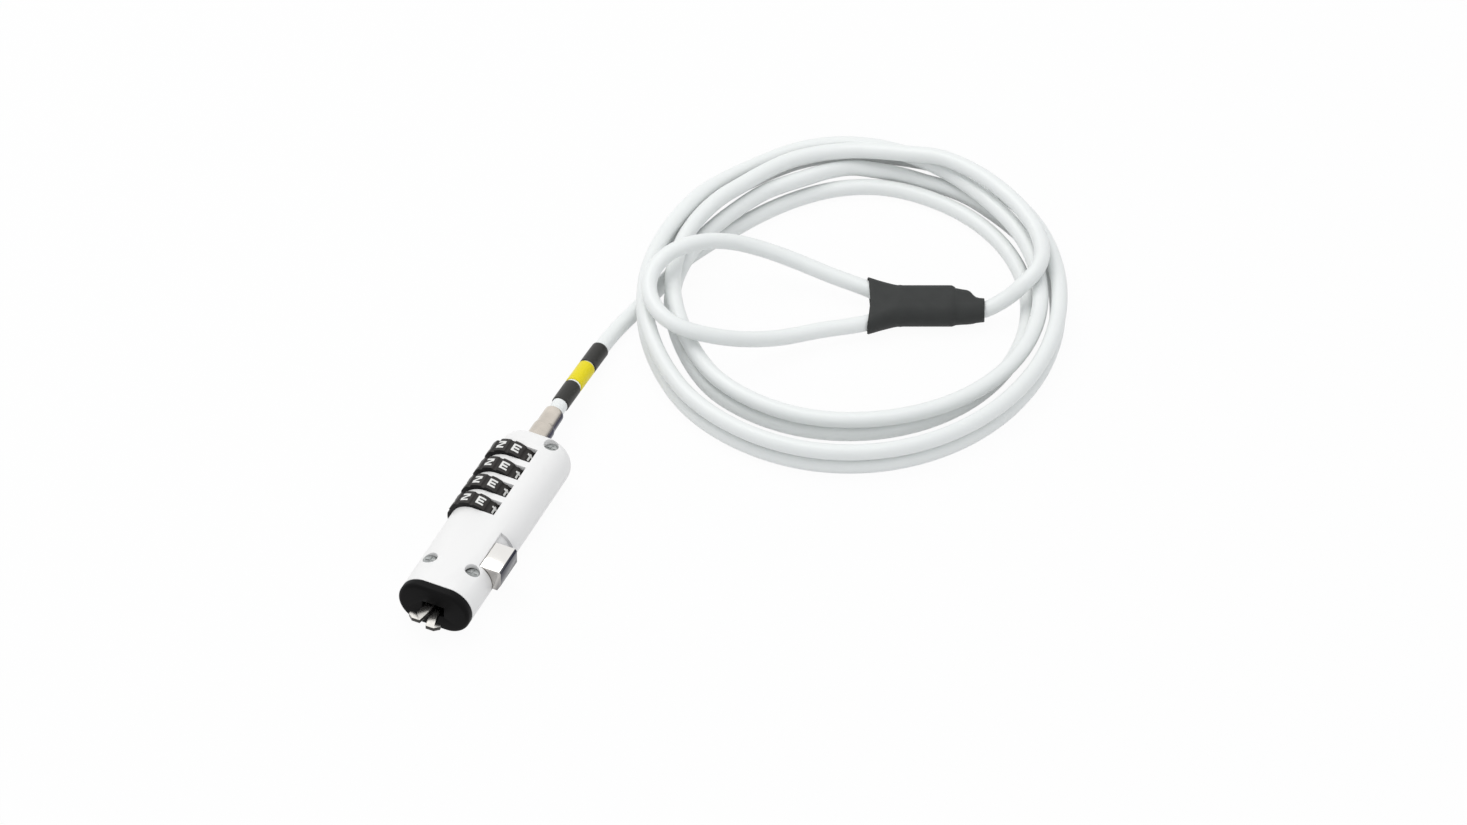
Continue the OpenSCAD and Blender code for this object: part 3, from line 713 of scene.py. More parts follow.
def merged_copy(node: str, name: str) -> bpy.types.Object:
    """A copy of a CAD node with its loose triangles merged into clean faces.

    Args:
        node: The node's name.
        name: The copy's name.

    Returns:
        The copy, which belongs to no body yet.
    """
    piece = put(name, frame["nodes"][node].data.copy())
    piece.data.name = name
    pick(piece)
    bpy.ops.object.mode_set(mode="EDIT")
    bpy.ops.mesh.select_all(action="SELECT")
    bpy.ops.mesh.remove_doubles(threshold=NODE_WELD)
    bpy.ops.mesh.dissolve_limited(angle_limit=math.radians(FLAT_ANGLE))
    bpy.ops.object.mode_set(mode="OBJECT")
    if piece.data.has_custom_normals:
        bpy.ops.mesh.customdata_custom_splitnormals_clear()
    return piece


def shifted_copy(source: bpy.types.Object, name: str, step: Vector) -> bpy.types.Object:
    """A copy of a piece with its own mesh, moved in its mesh.

    Args:
        source: The piece.
        name: The copy's name.
        step: How far it is moved, in metres.

    Returns:
        The copy.
    """
    piece = put(name, source.data.copy())
    piece.data.name = name
    for vertex in piece.data.vertices:
        vertex.co += step
    return piece


def catmull(points: Sequence[Vector], step: float) -> List[Vector]:
    """A smooth line through points, at an even step.

    Args:
        points: The points in metres.
        step: Distance from one sample to the next.

    Returns:
        The samples, from the first point to the last.
    """
    p = [2 * points[0] - points[1], *points, 2 * points[-1] - points[-2]]
    dense: List[Vector] = []
    for i in range(1, len(p) - 2):
        a, b, c, d = p[i - 1], p[i], p[i + 1], p[i + 2]
        t1 = max((b - a).length, TINY) ** 0.5
        t2 = t1 + max((c - b).length, TINY) ** 0.5
        t3 = t2 + max((d - c).length, TINY) ** 0.5
        count = max(int((c - b).length / step * SPLINE_SAMPLES), 2)
        for k in range(count):
            t = t1 + (t2 - t1) * k / count
            a1 = a * ((t1 - t) / t1) + b * (t / t1)
            a2 = b * ((t2 - t) / (t2 - t1)) + c * ((t - t1) / (t2 - t1))
            a3 = c * ((t3 - t) / (t3 - t2)) + d * ((t - t2) / (t3 - t2))
            b1 = a1 * ((t2 - t) / t2) + a2 * (t / t2)
            b2 = a2 * ((t3 - t) / (t3 - t1)) + a3 * ((t - t1) / (t3 - t1))
            dense.append(b1 * ((t2 - t) / (t2 - t1)) + b2 * ((t - t1) / (t2 - t1)))
    dense.append(points[-1])
    line = np.array([tuple(q) for q in dense])
    far = np.concatenate([[0.0], np.cumsum(np.linalg.norm(np.diff(line, axis=0), axis=1))])
    even = np.linspace(0.0, far[-1], max(int(far[-1] / step), 2) + 1)
    return [Vector(tuple(np.interp(s, far, line[:, k]) for k in range(3))) for s in even]


def swept(
    name: str, line: Sequence[Vector], radii: Sequence[float], sides: int = 20
) -> bpy.types.Object:
    """A closed round tube along a line, with a UV map that runs round and along it.

    Args:
        name: The piece's name.
        line: Its middle line in metres.
        radii: Its radius at each point of the line.
        sides: Points round it.

    Returns:
        The tube.
    """
    mesh = bmesh.new()
    uv = mesh.loops.layers.uv.new("UVMap")
    ahead = (line[1] - line[0]).normalized()
    side = ahead.cross(UP).normalized()
    rings: List[List[bmesh.types.BMVert]] = []
    for i, p in enumerate(line):
        way = (line[min(i + 1, len(line) - 1)] - line[max(i - 1, 0)]).normalized()
        side = (side - way * side.dot(way)).normalized()
        up = way.cross(side)
        rings.append([mesh.verts.new(p + radii[i] * (math.cos(a) * side + math.sin(a) * up))
                      for a in (2 * math.pi * k / sides for k in range(sides))])
    far = 0.0
    for i in range(len(line) - 1):
        step = (line[i + 1] - line[i]).length
        for k in range(sides):
            j = (k + 1) % sides
            face = mesh.faces.new((rings[i][k], rings[i][j], rings[i + 1][j], rings[i + 1][k]))
            face.smooth = True
            corners = ((k, far), (k + 1, far), (k + 1, far + step), (k, far + step))
            for loop, (round_by, at) in zip(face.loops, corners):
                loop[uv].uv = (round_by / sides, at)
        far += step
    mesh.faces.new(list(reversed(rings[0])))
    mesh.faces.new(rings[-1])
    bmesh.ops.recalc_face_normals(mesh, faces=mesh.faces)
    data = bpy.data.meshes.new(name)
    mesh.to_mesh(data)
    mesh.free()
    return put(name, data)


# ---------------------------------------------------------------- camera, light and floor


@dataclass(frozen=True)
class Lamp:
    """A square soft lamp: its place and its side in metres, its power in watts and its colour."""

    name: str
    spot: Point
    size: float
    power: float
    tint: Colour = (1.0, 1.0, 1.0)


@dataclass
class Studio:
    """Camera, floor and soft lamps, in metres and degrees."""

    azimuth: float = 25.4
    elevation: float = 45.0
    aim: Point = (0.03793, 0.07964, 0.0)
    distance: float = 10.0
    pixels_a_metre: float = 3630.0
    image_width: float = 1467.0
    sensor: float = 36.0
    clip: Flat = (0.1, 40.0)
    ambient: float = 0.68
    sky_tone: Colour = (0.97, 0.985, 1.0)
    floor_side: float = 8.0
    floor_drop: float = 0.00002
    floor_tone: Colour = (0.82, 0.82, 0.825)
    floor_glow: float = 0.95
    hung: Tuple[Lamp, ...] = (
        Lamp("key", (-0.45, 0.25, 0.95), 0.75, 3.9, (1.0, 0.99, 0.97)),
        Lamp("fill", (0.75, -0.55, 0.75), 0.8, 0.9, (0.96, 0.98, 1.0)),
        Lamp("top", (0.1, 0.1, 1.2), 0.6, 1.4))

    def camera(self) -> None:
        """Makes the camera, which looks at the lock from its front right, from above."""
        a, e = math.radians(self.azimuth), math.radians(self.elevation)
        back = Vector((math.sin(a) * math.cos(e), -math.cos(a) * math.cos(e), math.sin(e)))
        data = bpy.data.cameras.new("camera")
        data.sensor_width = self.sensor
        data.lens = self.pixels_a_metre * self.sensor * self.distance / self.image_width
        data.clip_start, data.clip_end = self.clip
        camera = put("camera", data)
        camera.location = Vector(self.aim) + back * self.distance
        camera.rotation_mode = "QUATERNION"
        camera.rotation_quaternion = (-back).to_track_quat("-Z", "Y")
        bpy.context.scene.camera = camera

    def floor(self) -> None:
        """Makes the pale floor, which shows white and still keeps the shadow."""
        deselect()
        bpy.ops.mesh.primitive_plane_add(size=self.floor_side, location=-UP * self.floor_drop)
        floor = settle(bpy.context.object, "floor")
        material = bpy.data.materials.new("floor_white")
        tree = node_tree(material)
        nodes, links = tree.nodes, tree.links
        nodes.clear()
        out = nodes.new("ShaderNodeOutputMaterial")
        plain = nodes.new("ShaderNodeBsdfDiffuse")
        plain.inputs["Color"].default_value = (*self.floor_tone, 1.0)
        glow = nodes.new("ShaderNodeEmission")
        glow.inputs["Color"].default_value = (1.0, 1.0, 1.0, 1.0)
        glow.inputs["Strength"].default_value = 1.0
        share = nodes.new("ShaderNodeMath")
        share.operation = "MULTIPLY"
        share.inputs[1].default_value = self.floor_glow
        mix = nodes.new("ShaderNodeMixShader")
        links.new(self._seen(tree), share.inputs[0])
        links.new(share.outputs[0], mix.inputs["Fac"])
        links.new(plain.outputs[0], mix.inputs[1])
        links.new(glow.outputs[0], mix.inputs[2])
        links.new(mix.outputs[0], out.inputs["Surface"])
        floor.data.materials.append(material)
        floor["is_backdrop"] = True

    def lamps(self) -> None:
        """Makes a white world and the large soft lamps."""
        world = bpy.data.worlds.new("studio")
        bpy.context.scene.world = world
        world.use_nodes = True
        nodes, links = world.node_tree.nodes, world.node_tree.links
        sky = nodes["Background"]
        level = nodes.new("ShaderNodeMapRange")
        level.inputs["To Min"].default_value = self.ambient
        level.inputs["To Max"].default_value = 1.0
        links.new(self._seen(world.node_tree), level.inputs["Value"])
        links.new(level.outputs["Result"], sky.inputs["Strength"])
        sky.inputs["Color"].default_value = (*self.sky_tone, 1.0)
        for lamp in self.hung:
            self._hang(lamp)

    def _seen(self, tree: Tree) -> Socket:
        """Says where a ray comes straight from the camera, or by way of metal or glass.

        Args:
            tree: The nodes of the floor or of the world.

        Returns:
            1 for such a ray and 0 for one that only lights the object.
        """
        rays = tree.nodes.new("ShaderNodeLightPath")
        value = rays.outputs["Is Camera Ray"]
        for kind in ("Is Glossy Ray", "Is Transmission Ray"):
            larger = tree.nodes.new("ShaderNodeMath")
            larger.operation = "MAXIMUM"
            tree.links.new(value, larger.inputs[0])
            tree.links.new(rays.outputs[kind], larger.inputs[1])
            value = larger.outputs[0]
        return value

    def _hang(self, lamp: Lamp) -> None:
        """Makes one lamp, turned to where the camera looks.

        Args:
            lamp: The lamp.
        """
        data = bpy.data.lights.new(lamp.name, "AREA")
        data.shape = "SQUARE"
        data.size = lamp.size
        data.energy = lamp.power
        data.color = lamp.tint
        light = put(lamp.name, data)
        light.location = lamp.spot
        light.visible_camera = False
        light.rotation_mode = "QUATERNION"
        way = Vector(self.aim) - Vector(lamp.spot)
        light.rotation_quaternion = way.to_track_quat("-Z", "Y")

    def build(self) -> None:
        """Makes camera, floor and lamps."""
        self.camera()
        self.floor()
        self.lamps()
        bpy.context.scene.view_settings.view_transform = "Standard"


# ---------------------------------------------------------------- cable


def soft(t: float) -> float:
    """A step from 0 to 1 with soft shoulders."""
    return 0.5 - 0.5 * math.cos(math.pi * min(max(t, 0.0), 1.0))


def ramp(t: float, a: float, b: float) -> float:
    """A soft rise from 0 at a to 1 at b."""
    return soft((t - a) / (b - a))


@dataclass
class Route:
    """The cable's route, in millimetres, as the CAD source has it."""

    cable_d: float = 4.5
    coil_mid: Flat = (50.25, 127.9)
    turn: float = 25.4
    start: float = 0.09
    end: float = 4.14
    radius: float = 48.6
    across: float = 9.6
    along: float = 12.6
    layer: float = 5.1
    points_a_turn: int = 48
    lanes: Tuple[Flat, ...] = (
        (0, 0), (0.04, 0), (0.14, -0.38), (0.3, 0), (0.5, 0.1), (0.75, 0), (0.95, 0.08),
        (1.12, -0.26), (1.19, -0.12), (1.27, 0.36), (1.3, 0.42), (1.36, 0.56), (1.5, 0.95),
        (1.75, 1), (1.93, 0.95), (2.1, 0.48), (2.25, 0.95), (2.4, 1), (2.75, 1), (2.93, 0.95),
        (3.1, 0.48), (3.24, 0.87), (3.4, 0.45), (3.5, 0.45), (3.75, 0), (4.12, 0), (4.3, 0.5))
    climb: Flat = (2.25, 2.45)
    humps: Tuple[Tuple[float, ...], ...] = (
        (0.98, 1.19, 0.14), (1.98, 2.09, 0.1), (2.98, 3.09, 0.1), (3.98, 4.12, 0.1))
    hump_rise: float = 0.1
    lead: Tuple[Point, ...] = (
        (-3.45, 42.05, 7), (-3.45, 52, 7), (-3.6, 55.6, 6.8), (-3.9, 65, 5.7), (-4.3, 74.4, 4.2),
        (-4.5, 83.8, 3), (-4.2, 92, 2.3), (-2.9, 100, 2.25), (-1.3, 109, 2.25), (0.2, 118, 2.25),
        (1.2, 126, 2.25))
    tail: Tuple[Point, ...] = (
        (14.8, 166.4, 10.7), (27, 176.9, 10.1), (42.8, 181.4, 11.6), (52.4, 183.2, 12.5),
        (63.4, 182, 12.6), (73.9, 178.3, 12.6), (83.1, 173, 12.6), (90.2, 166.4, 12.6),
        (94, 160.2, 12.6), (94.9, 154.6, 12.3), (93.4, 149.8, 10.8), (90.2, 145.6, 7.6))
    eye: Tuple[Point, ...] = (
        (47.7, 114.7, 4.6), (39.5, 106.3, 5.8), (32.5, 98.4, 9.3), (25.2, 92, 13.4),
        (18.1, 88.8, 16.2), (12.1, 89.5, 17.2), (7.3, 92.6, 17.8), (3.8, 97.2, 18.4),
        (2.4, 102.8, 19.3), (3.4, 108.4, 20.2), (6.3, 113.9, 20.3), (10.3, 119.9, 18.6),
        (15.5, 125.6, 15.5), (22.8, 129.9, 12), (31.6, 132.4, 9), (41.5, 133.6, 6.7))
    splice: Flat = (70, 136.4)
    splice_z: float = 4.1
    lane_half: float = 2.55
    crimp_half: float = 6.8
    run_in: Tuple[Point, ...] = ((16, -2.1, 4.7), (11.5, -2.45, 4.2))
    fan_out: Tuple[Point, ...] = ((-11.5, -4, 4.1), (-16.5, -6.8, 4.3))
    fan_in: Tuple[Point, ...] = ((-16.5, 5.9, 5), (-11.5, 3.7, 4.3))

    def turned(self, a: float, b: float) -> Flat:
        """A step turned by the coil's own angle."""
        c, s = math.cos(math.radians(self.turn)), math.sin(math.radians(self.turn))
        return a * c - b * s, a * s + b * c

    def lane(self, t: float) -> float:
        """Finds the lane that the coil lies in.

        Args:
            t: The turn, counted from the coil's left side.

        Returns:
            The lane: 0 is the inner circle, 1 the outer.
        """
        i = 0
        while i < len(self.lanes) - 2 and t >= self.lanes[i + 1][0]:
            i += 1
        (t0, a), (t1, b) = self.lanes[i], self.lanes[i + 1]
        return a + (b - a) * ramp(t, t0, t1)

    def hump(self, t: float, start: float, end: float, fall: float) -> float:
        """How far a loop lies over the one before it at turn t, from 0 to 1."""
        return ramp(t, start - self.hump_rise, start) - ramp(t, end, end + fall)

    def coil_z(self, t: float) -> float:
        """Height of the coil's middle line at turn t."""
        layers = ramp(t, *self.climb) + sum(self.hump(t, *stretch) for stretch in self.humps)
        return self.cable_d / 2 + self.layer * layers

    def coil(self, t: float) -> Point:
        """Finds a point of the coil.

        Args:
            t: The turn, counted from the coil's left side.

        Returns:
            The point in millimetres.
        """
        phi = math.radians(180.0 - 360.0 * t)
        x, y = self.turned((self.radius + self.lane(t) * self.across) * math.cos(phi),
                           (self.radius + self.lane(t) * self.along) * math.sin(phi))
        return self.coil_mid[0] + x, self.coil_mid[1] + y, self.coil_z(t)

    def on_splice(self, u: float, v: float, z: float) -> Point:
        """A point in the splice's own frame, u along its two lanes."""
        x, y = self.turned(u, v)
        return self.splice[0] + x, self.splice[1] + y, z

    def points(self) -> List[Vector]:
        """The whole route, from inside the swivel ferrule to the end of the eye.

        Returns:
            Its points in metres.
        """
        turns = self.end - self.start
        steps = math.ceil(turns * self.points_a_turn)
        coil = [self.coil(self.start + turns * i / steps) for i in range(steps + 1)]
        c, h, z = self.crimp_half, self.lane_half, self.splice_z
        through = (*self.run_in, (c, -h, z), (0, -h, z), (-c, -h, z), *self.fan_out)
        back = (*self.fan_in, (-c, h, z), (c, h, z))
        first, last = ([self.on_splice(*p) for p in leg] for leg in (through, back))
        route = [*self.lead, *coil, *self.tail, *first, *self.eye, *last]
        return [Vector(p) * MM for p in route]


# Distance behind the lock body and radius of the ferrule, in millimetres
FERRULE_PROFILE: Tuple[Flat, ...] = (
    (-4.95, 3.2), (-3.65, 3.2), (-3.65, 2.2), (0.3, 2.2), (0.3, 3.0), (0.45, 3.2), (7.6, 3.2),
    (8.0, 3.14), (8.4, 2.98), (8.8, 2.9), (13.9, 2.84), (14.5, 2.78), (14.72, 2.66), (14.75, 2.5),
    (14.6, 2.4), (13.6, 2.32))

# The sleeve's sections from its wide end to its narrow one, in millimetres: distance along,
# width, height, shift to the right-hand side, rise, slope across
SLEEVE_SHAPE: Tuple[Tuple[float, ...], ...] = (
    (-15.0, 16.6, 4.7, 0.45, 0.45, -0.05), (-16.2, 18.2, 5.1, 0.45, 0.5, -0.05),
    (-16.45, 18.8, 5.7, 0.45, 0.5, -0.05), (-16.2, 19.0, 6.1, 0.45, 0.5, -0.05),
    (-14.8, 17.9, 6.2, 0.4, 0.42, -0.045), (-13.0, 16.6, 6.5, 0.3, 0.32, -0.03),
    (-11.0, 15.2, 6.9, 0.18, 0.18, -0.015), (-9.2, 13.9, 7.4, 0.05, 0.05),
    (-8.0, 13.1, 7.8), (-7.2, 13.25, 7.9), (-6.6, 13.0, 7.85), (0.0, 13.0, 7.85),
    (6.4, 13.0, 7.85), (7.0, 12.95, 7.85, 0.02), (7.6, 12.3, 7.6, 0.1), (8.1, 11.5, 7.35, 0.3),
    (9.6, 11.0, 7.2, 0.45, 0.03), (11.2, 10.6, 7.1, 0.62, 0.08), (12.1, 9.9, 7.0, 0.95, 0.15),
    (12.9, 8.5, 6.85, 1.6, 0.25), (13.7, 7.4, 6.7, 2.0, 0.35), (14.6, 6.95, 6.6, 2.1, 0.4),
    (15.7, 6.75, 6.5, 2.1, 0.4), (15.97, 6.5, 6.3, 2.1, 0.4), (15.95, 5.8, 5.5, 2.1, 0.4),
    (15.0, 5.0, 4.9, 2.1, 0.45))


@dataclass
class Cable:
    """The vinyl covered cable with its bands, its ferrule and the sleeve that closes the eye."""

    route: Route = field(default_factory=Route)
    step: float = 1.6
    lead_l: float = 60.0
    band_wall: float = 0.27
    band_edge: float = 0.05
    band_inset: float = 0.2
    band_lap: float = 1.0
    band_step: float = 0.3
    band_sides: int = 40
    sleeve_sides: int = 72
    sleeve_half: float = 9.5
    sleeve_draw: float = 0.9
    sleeve_drawn: Flat = (12.0, 16.4)
    dip_deep: float = 1.1
    dip_mid: float = 0.2
    dip_wide: float = 2.6
    dip_from: Flat = (8.0, 15.5)
    line: List[Vector] = field(default_factory=list)
    length: float = 0.0
    pieces: Dict[str, bpy.types.Object] = field(default_factory=dict)

    def cable(self) -> None:
        """Models the cable as one tube and finds its real length."""
        self.line = catmull(self.route.points(), self.step * MM)
        self.length = sum((b - a).length for a, b in zip(self.line, self.line[1:]))
        radius = self.route.cable_d * MM / 2
        tube = swept("cable", self.line, [radius] * len(self.line))
        self.pieces["cable"] = tube
        Paint.WHITE_VINYL.dress(tube)
        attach(tube, "cable")
        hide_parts("cable_lead", "cable_coil", "cable_tail", "cable_eye")

    def stretch(self, low: float, high: float) -> List[Vector]:
        """The part of the lead between two distances along Y.

        Args:
            low: Where it starts, in metres.
            high: Where it ends.

        Returns:
            Its points.
        """
        lead = self.line[: int(self.lead_l / self.step)]
        return [p for p in lead if low < p.y < high]

    def bands(self) -> None:
        """Models the three printed bands round the lead."""
        paints = {"band_front": Paint.BAND_BLACK, "band_middle": Paint.BAND_YELLOW,
                  "band_rear": Paint.BAND_BLACK}
        radius, inset, lap = self.route.cable_d / 2, self.band_inset * MM, self.band_lap * MM
        for name, paint in paints.items():
            low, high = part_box(name)
            start, end = low.y + inset, high.y - inset
            under = self.stretch(start - lap, end + lap)
            line = [p for p in catmull(under, self.band_step * MM) if start < p.y < end]
            radii = [(radius + self.band_wall) * MM] * len(line)
            radii[0] = radii[-1] = (radius + self.band_edge) * MM
            piece = swept(f"{name}_ring", line, radii, self.band_sides)
            self.pieces[name] = piece
            paint.dress(piece)
            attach(piece, "cable")
            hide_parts(name)

    def ferrule(self) -> None:
        """Models the chrome swivel ferrule with its collar and its crimped rear end."""
        stations = [Station(y, 2 * r, 2 * r) for y, r in FERRULE_PROFILE]
        origin = LOCK.at(LOCK.stub_x, LOCK.body_l, LOCK.mid_z)
        piece = loft("swivel_ferrule", stations, origin, REARWARD)
        smooth(piece, angle=40.0)
        self.pieces["ferrule"] = piece
        Paint.CRIMPED_CHROME.dress(piece)
        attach(piece, "cable")
        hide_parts("swivel_stub")

    def sleeve(self) -> None:
        """Models the shrink sleeve, flared over two cables and stepped down to one."""
        along = Vector((*self.route.turned(1.0, 0.0), 0.0))
        origin = Vector(self.route.on_splice(0, 0, self.route.splice_z)) * MM
        stations = [Station(*row) for row in SLEEVE_SHAPE]
        piece = loft("splice_sleeve", stations, origin, along, sides=self.sleeve_sides)
        self._wrinkle(piece, origin, along)
        smooth(piece, angle=60.0)
        self.pieces["sleeve"] = piece
        Paint.SHRINK_RUBBER.dress(piece)
        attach(piece, "cable")
        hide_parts("shrink_sleeve")

    def _wrinkle(self, piece: bpy.types.Object, origin: Vector, along: Vector) -> None:
        """Sinks the sleeve between its two cables and draws in the middle of its wide end.

        Args:
            piece: The sleeve.
            origin: Its middle.
            along: Its direction.
        """
        across = Vector((along.y, -along.x, 0.0))
        for vertex in piece.data.vertices:
            step = vertex.co - origin
            u, v = step.dot(along) / MM, step.dot(across) / MM
            outer = ramp(-u, *self.dip_from)
            dip = math.exp(-((v - self.dip_mid) / self.dip_wide) ** 2) * outer * self.dip_deep
            vertex.co.z -= math.copysign(dip * MM, step.z)
            drawn = max(0.0, 1.0 - (v / self.sleeve_half) ** 2) * ramp(-u, *self.sleeve_drawn)
            vertex.co += along * (drawn * self.sleeve_draw * MM)

    def declare(self) -> None:
        """Dresses the crimp ferrule inside the sleeve and logs the cable's length."""
        Paint.CRIMP_METAL.dress_nodes("crimp_ferrule")
        LOG.info("cable length %.3f m", self.length)

    def build(self) -> None:
        """Makes the cable and all that is on it."""
        self.cable()
        self.bands()
        self.ferrule()
        self.sleeve()
        self.declare()


# ---------------------------------------------------------------- lock body


@dataclass
class Housing:
    """The painted shells, the cap, the screws and the plain pieces inside.

    Sizes that end with edge round the sharp edges of a finished piece.
    """

    sizes: LockSizes = LOCK
    sides: int = 96
    beyond: float = 1.0
    front_bevel: float = 0.12
    middle_rings: Tuple[float, ...] = (20.0, 34.0, 48.0)
    rear_round: float = 1.9
    rear_steps: int = 12
    rear_narrow: float = 0.62
    rear_low: float = 0.8
    part_gap: float = 0.06
    part_half: float = 20.0
    screw_hole_r: float = 2.1
    screw_hole_h: float = 3.4
    stub_hole_r: float = 2.25
    stub_hole_l: float = 5.0
    hole_sides: int = 40
    pocket_gap: float = 0.2
    pocket_under: float = 0.3
    pocket_round: float = 2.0
    pocket_steps: int = 8
    cap_round: float = 1.15
    cap_steps: int = 8
    cap_gap: float = 0.05
    slot_half: Flat = (3.3, 1.7)
    cross_r: float = 1.5
    cross_fill: Flat = (1.6, 0.25)
    cross_sides: int = 32
    shell_edge: float = 0.14
    cap_edge: float = 0.18
    screw_edge: float = 0.12

    def outline(self, y: float, inset_x: float, inset_z: float) -> Station:
        """One section of the body, drawn in at its sides and at its top and bottom."""
        s = self.sizes
        return Station(y, s.body_w - 2 * inset_x, s.body_h - 2 * inset_z)

    def body_block(self) -> bpy.types.Object:
        """Models the whole body as one solid with its rounded rear end.

        Returns:
            The solid.
        """
        s = self.sizes
        bevel = self.front_bevel
        stations = [self.outline(s.cap_l, bevel, bevel)]
        stations += [self.outline(y, 0.0, 0.0) for y in (s.cap_l + bevel, *self.middle_rings)]
        for i in range(self.rear_steps + 1):
            a = math.radians(90.0 * i / self.rear_steps)
            y = s.body_l - s.rear_r * (1.0 - math.sin(a))
            near = max(0.0, (y - (s.body_l - self.rear_round)) / self.rear_round)
            inset_x = s.rear_r * (1.0 - math.cos(a)) * self.rear_narrow
            inset_z = self.rear_round * (1.0 - math.sqrt(max(0.0, 1.0 - near * near)))
            inset_z = min(inset_z, self.rear_round) * self.rear_low
            stations.append(self.outline(y, inset_x, inset_z))
        return loft("body", stations, s.at(0, 0, s.mid_z), REARWARD, sides=self.sides)

    def hollow(self) -> bpy.types.Object:
        """Models the space inside the walls.

        Returns:
            The cutter.
        """
        s = self.sizes
        ends = (s.cap_l - self.beyond, s.body_l - s.rear_wall)
        stations = [self.outline(y, s.wall, s.wall) for y in ends]
        return loft("hollow", stations, s.at(0, 0, s.mid_z), REARWARD)

    def cutters(self) -> List[bpy.types.Object]:
        """Models what the dials' windows, the screw holes and the stub's hole take out.

        Returns:
            The cutters.
        """
        s = self.sizes
        top = s.body_h + self.beyond
        found = []
        for i in range(s.dial_n):
            low = s.dial_y + i * s.dial_pitch - s.dial_w / 2 - s.window_gap
            found.append(block(s.at(-s.body_w, low, -self.beyond),
                               s.at(s.window_x, low + s.dial_w + 2 * s.window_gap, top)))
        for x, y in s.screw_spots:
            found.append(bar(s.at(x, y, s.body_h - self.screw_hole_h), s.at(x, y, top),
                             self.screw_hole_r * MM, self.hole_sides))
        found.append(bar(s.at(s.stub_x, s.body_l - self.stub_hole_l, s.mid_z),
                         s.at(s.stub_x, s.body_l + self.beyond, s.mid_z),
                         self.stub_hole_r * MM, self.hole_sides))
        return found

    def pocket(self) -> bpy.types.Object:
        """Models the pocket of the slide button, with its floor that follows the round side.

        Returns:
            The cutter.
        """
        s = self.sizes
        box = block(s.at(s.button_in - self.pocket_gap, s.button_y - self.pocket_gap,
                         s.button_low - self.pocket_under),
                    s.at(s.body_w, s.pocket_end, s.body_h + 2 * self.beyond))
        self._round_pocket(box)
        core = bar(s.at(s.flat_half, 0.0, s.mid_z), s.at(s.flat_half, s.body_l, s.mid_z),
                   (s.side_r - s.pocket_depth) * MM, self.sides)
        cut(box, [core])
        return box

    def _round_pocket(self, box: bpy.types.Object) -> None:
        """Rounds the pocket's inner rear corner in plan.

        Args:
            box: The pocket's cutter, still a plain box.
        """
        s = self.sizes
        pick(box)
        bpy.ops.object.mode_set(mode="EDIT")
        bpy.ops.mesh.select_all(action="DESELECT")
        mesh = bmesh.from_edit_mesh(box.data)
        corner = s.at(s.button_in - self.pocket_gap, s.pocket_end, 0.0)
        for edge in mesh.edges:
            near = all((v.co.xy - corner.xy).length < CORNER_REACH for v in edge.verts)
            edge.select_set(near)
        bmesh.update_edit_mesh(box.data)
        bpy.ops.mesh.bevel(offset=self.pocket_round * MM, segments=self.pocket_steps)
        bpy.ops.object.mode_set(mode="OBJECT")

    def shells(self) -> None:
        """Models the two painted shells, parted at the middle height."""
        s = self.sizes
        over = 2 * self.beyond
        whole = self.body_block()
        cut(whole, [self.hollow(), *self.cutters(), self.pocket()])
        clean(whole)
        for node, above in (("upper_shell", True), ("lower_shell", False)):
            piece = put(f"{node}_painted", whole.data.copy())
            low = -over if above else s.mid_z - self.part_gap
            high = s.mid_z + self.part_gap if above else s.body_h + over
            cut(piece, [block(s.at(-self.part_half, -over, low),
                              s.at(self.part_half, s.body_l + over, high))])
            clean(piece)
            round_edges(piece, self.shell_edge * MM, angle=40.0)
            smooth(piece, angle=40.0)
            Paint.WHITE_PAINT.dress(piece)
            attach(piece, "housing")
            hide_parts(node)
        bpy.data.objects.remove(whole, do_unlink=True)

    def cap(self) -> None:
        """Models the black front cap with its rounded face and its slot."""
        s = self.sizes
        stations = []
        for i in reversed(range(self.cap_steps + 1)):
            a = math.radians(90.0 * i / self.cap_steps)
            inset = self.cap_round * (1.0 - math.cos(a))
            stations.append(self.outline(self.cap_round * (1.0 - math.sin(a)), inset, inset))
        stations.append(self.outline(s.cap_l - self.cap_gap, 0.0, 0.0))
        piece = loft("front_cap_moulded", stations, s.at(0, 0, s.mid_z), REARWARD, sides=self.sides)
        wide, high = self.slot_half
        cut(piece, [block(s.at(-wide, -self.beyond, s.mid_z - high),
                          s.at(wide, s.cap_l + self.beyond, s.mid_z + high))])
        clean(piece)
        round_edges(piece, self.cap_edge * MM, angle=45.0)
        smooth(piece, angle=40.0)
        Paint.BLACK_PLASTIC.dress(piece)
        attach(piece, "housing")
        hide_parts("front_cap")

    def screws(self) -> None:
        """Models the case screws, each with its deep cross filled up to a shallow one."""
        s = self.sizes
        piece = merged_copy("case_screws", "case_screws_driven")
        top = max(vertex.co.z for vertex in piece.data.vertices)
        for x, y in s.screw_spots:
            spot = s.at(x, y, 0.0)
            low, high = (Vector((spot.x, spot.y, top - depth * MM)) for depth in self.cross_fill)
            plug = bar(low, high, self.cross_r * MM, self.cross_sides)
            combine(piece, plug, Combine.JOIN)
        clean(piece)
        round_edges(piece, self.screw_edge * MM)
        smooth(piece, angle=35.0)
        Paint.ZINC.dress(piece)
        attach(piece, "housing")
        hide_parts("case_screws")

    def inside(self) -> None:
        """Dresses the plain metal pieces inside."""
        plain = ("front_end_plate", "rear_end_plate", "dial_shaft", "spacer_washers",
                 "detent_spring", "claw_pivot_pin", "slide_plate", "locking_comb")
        Paint.STEEL.dress_nodes(*plain, *(f"code_ring_{i + 1}" for i in range(self.sizes.dial_n)))

    def build(self) -> None:
        """Makes the housing."""
        self.shells()
        self.cap()
        self.screws()
        self.inside()


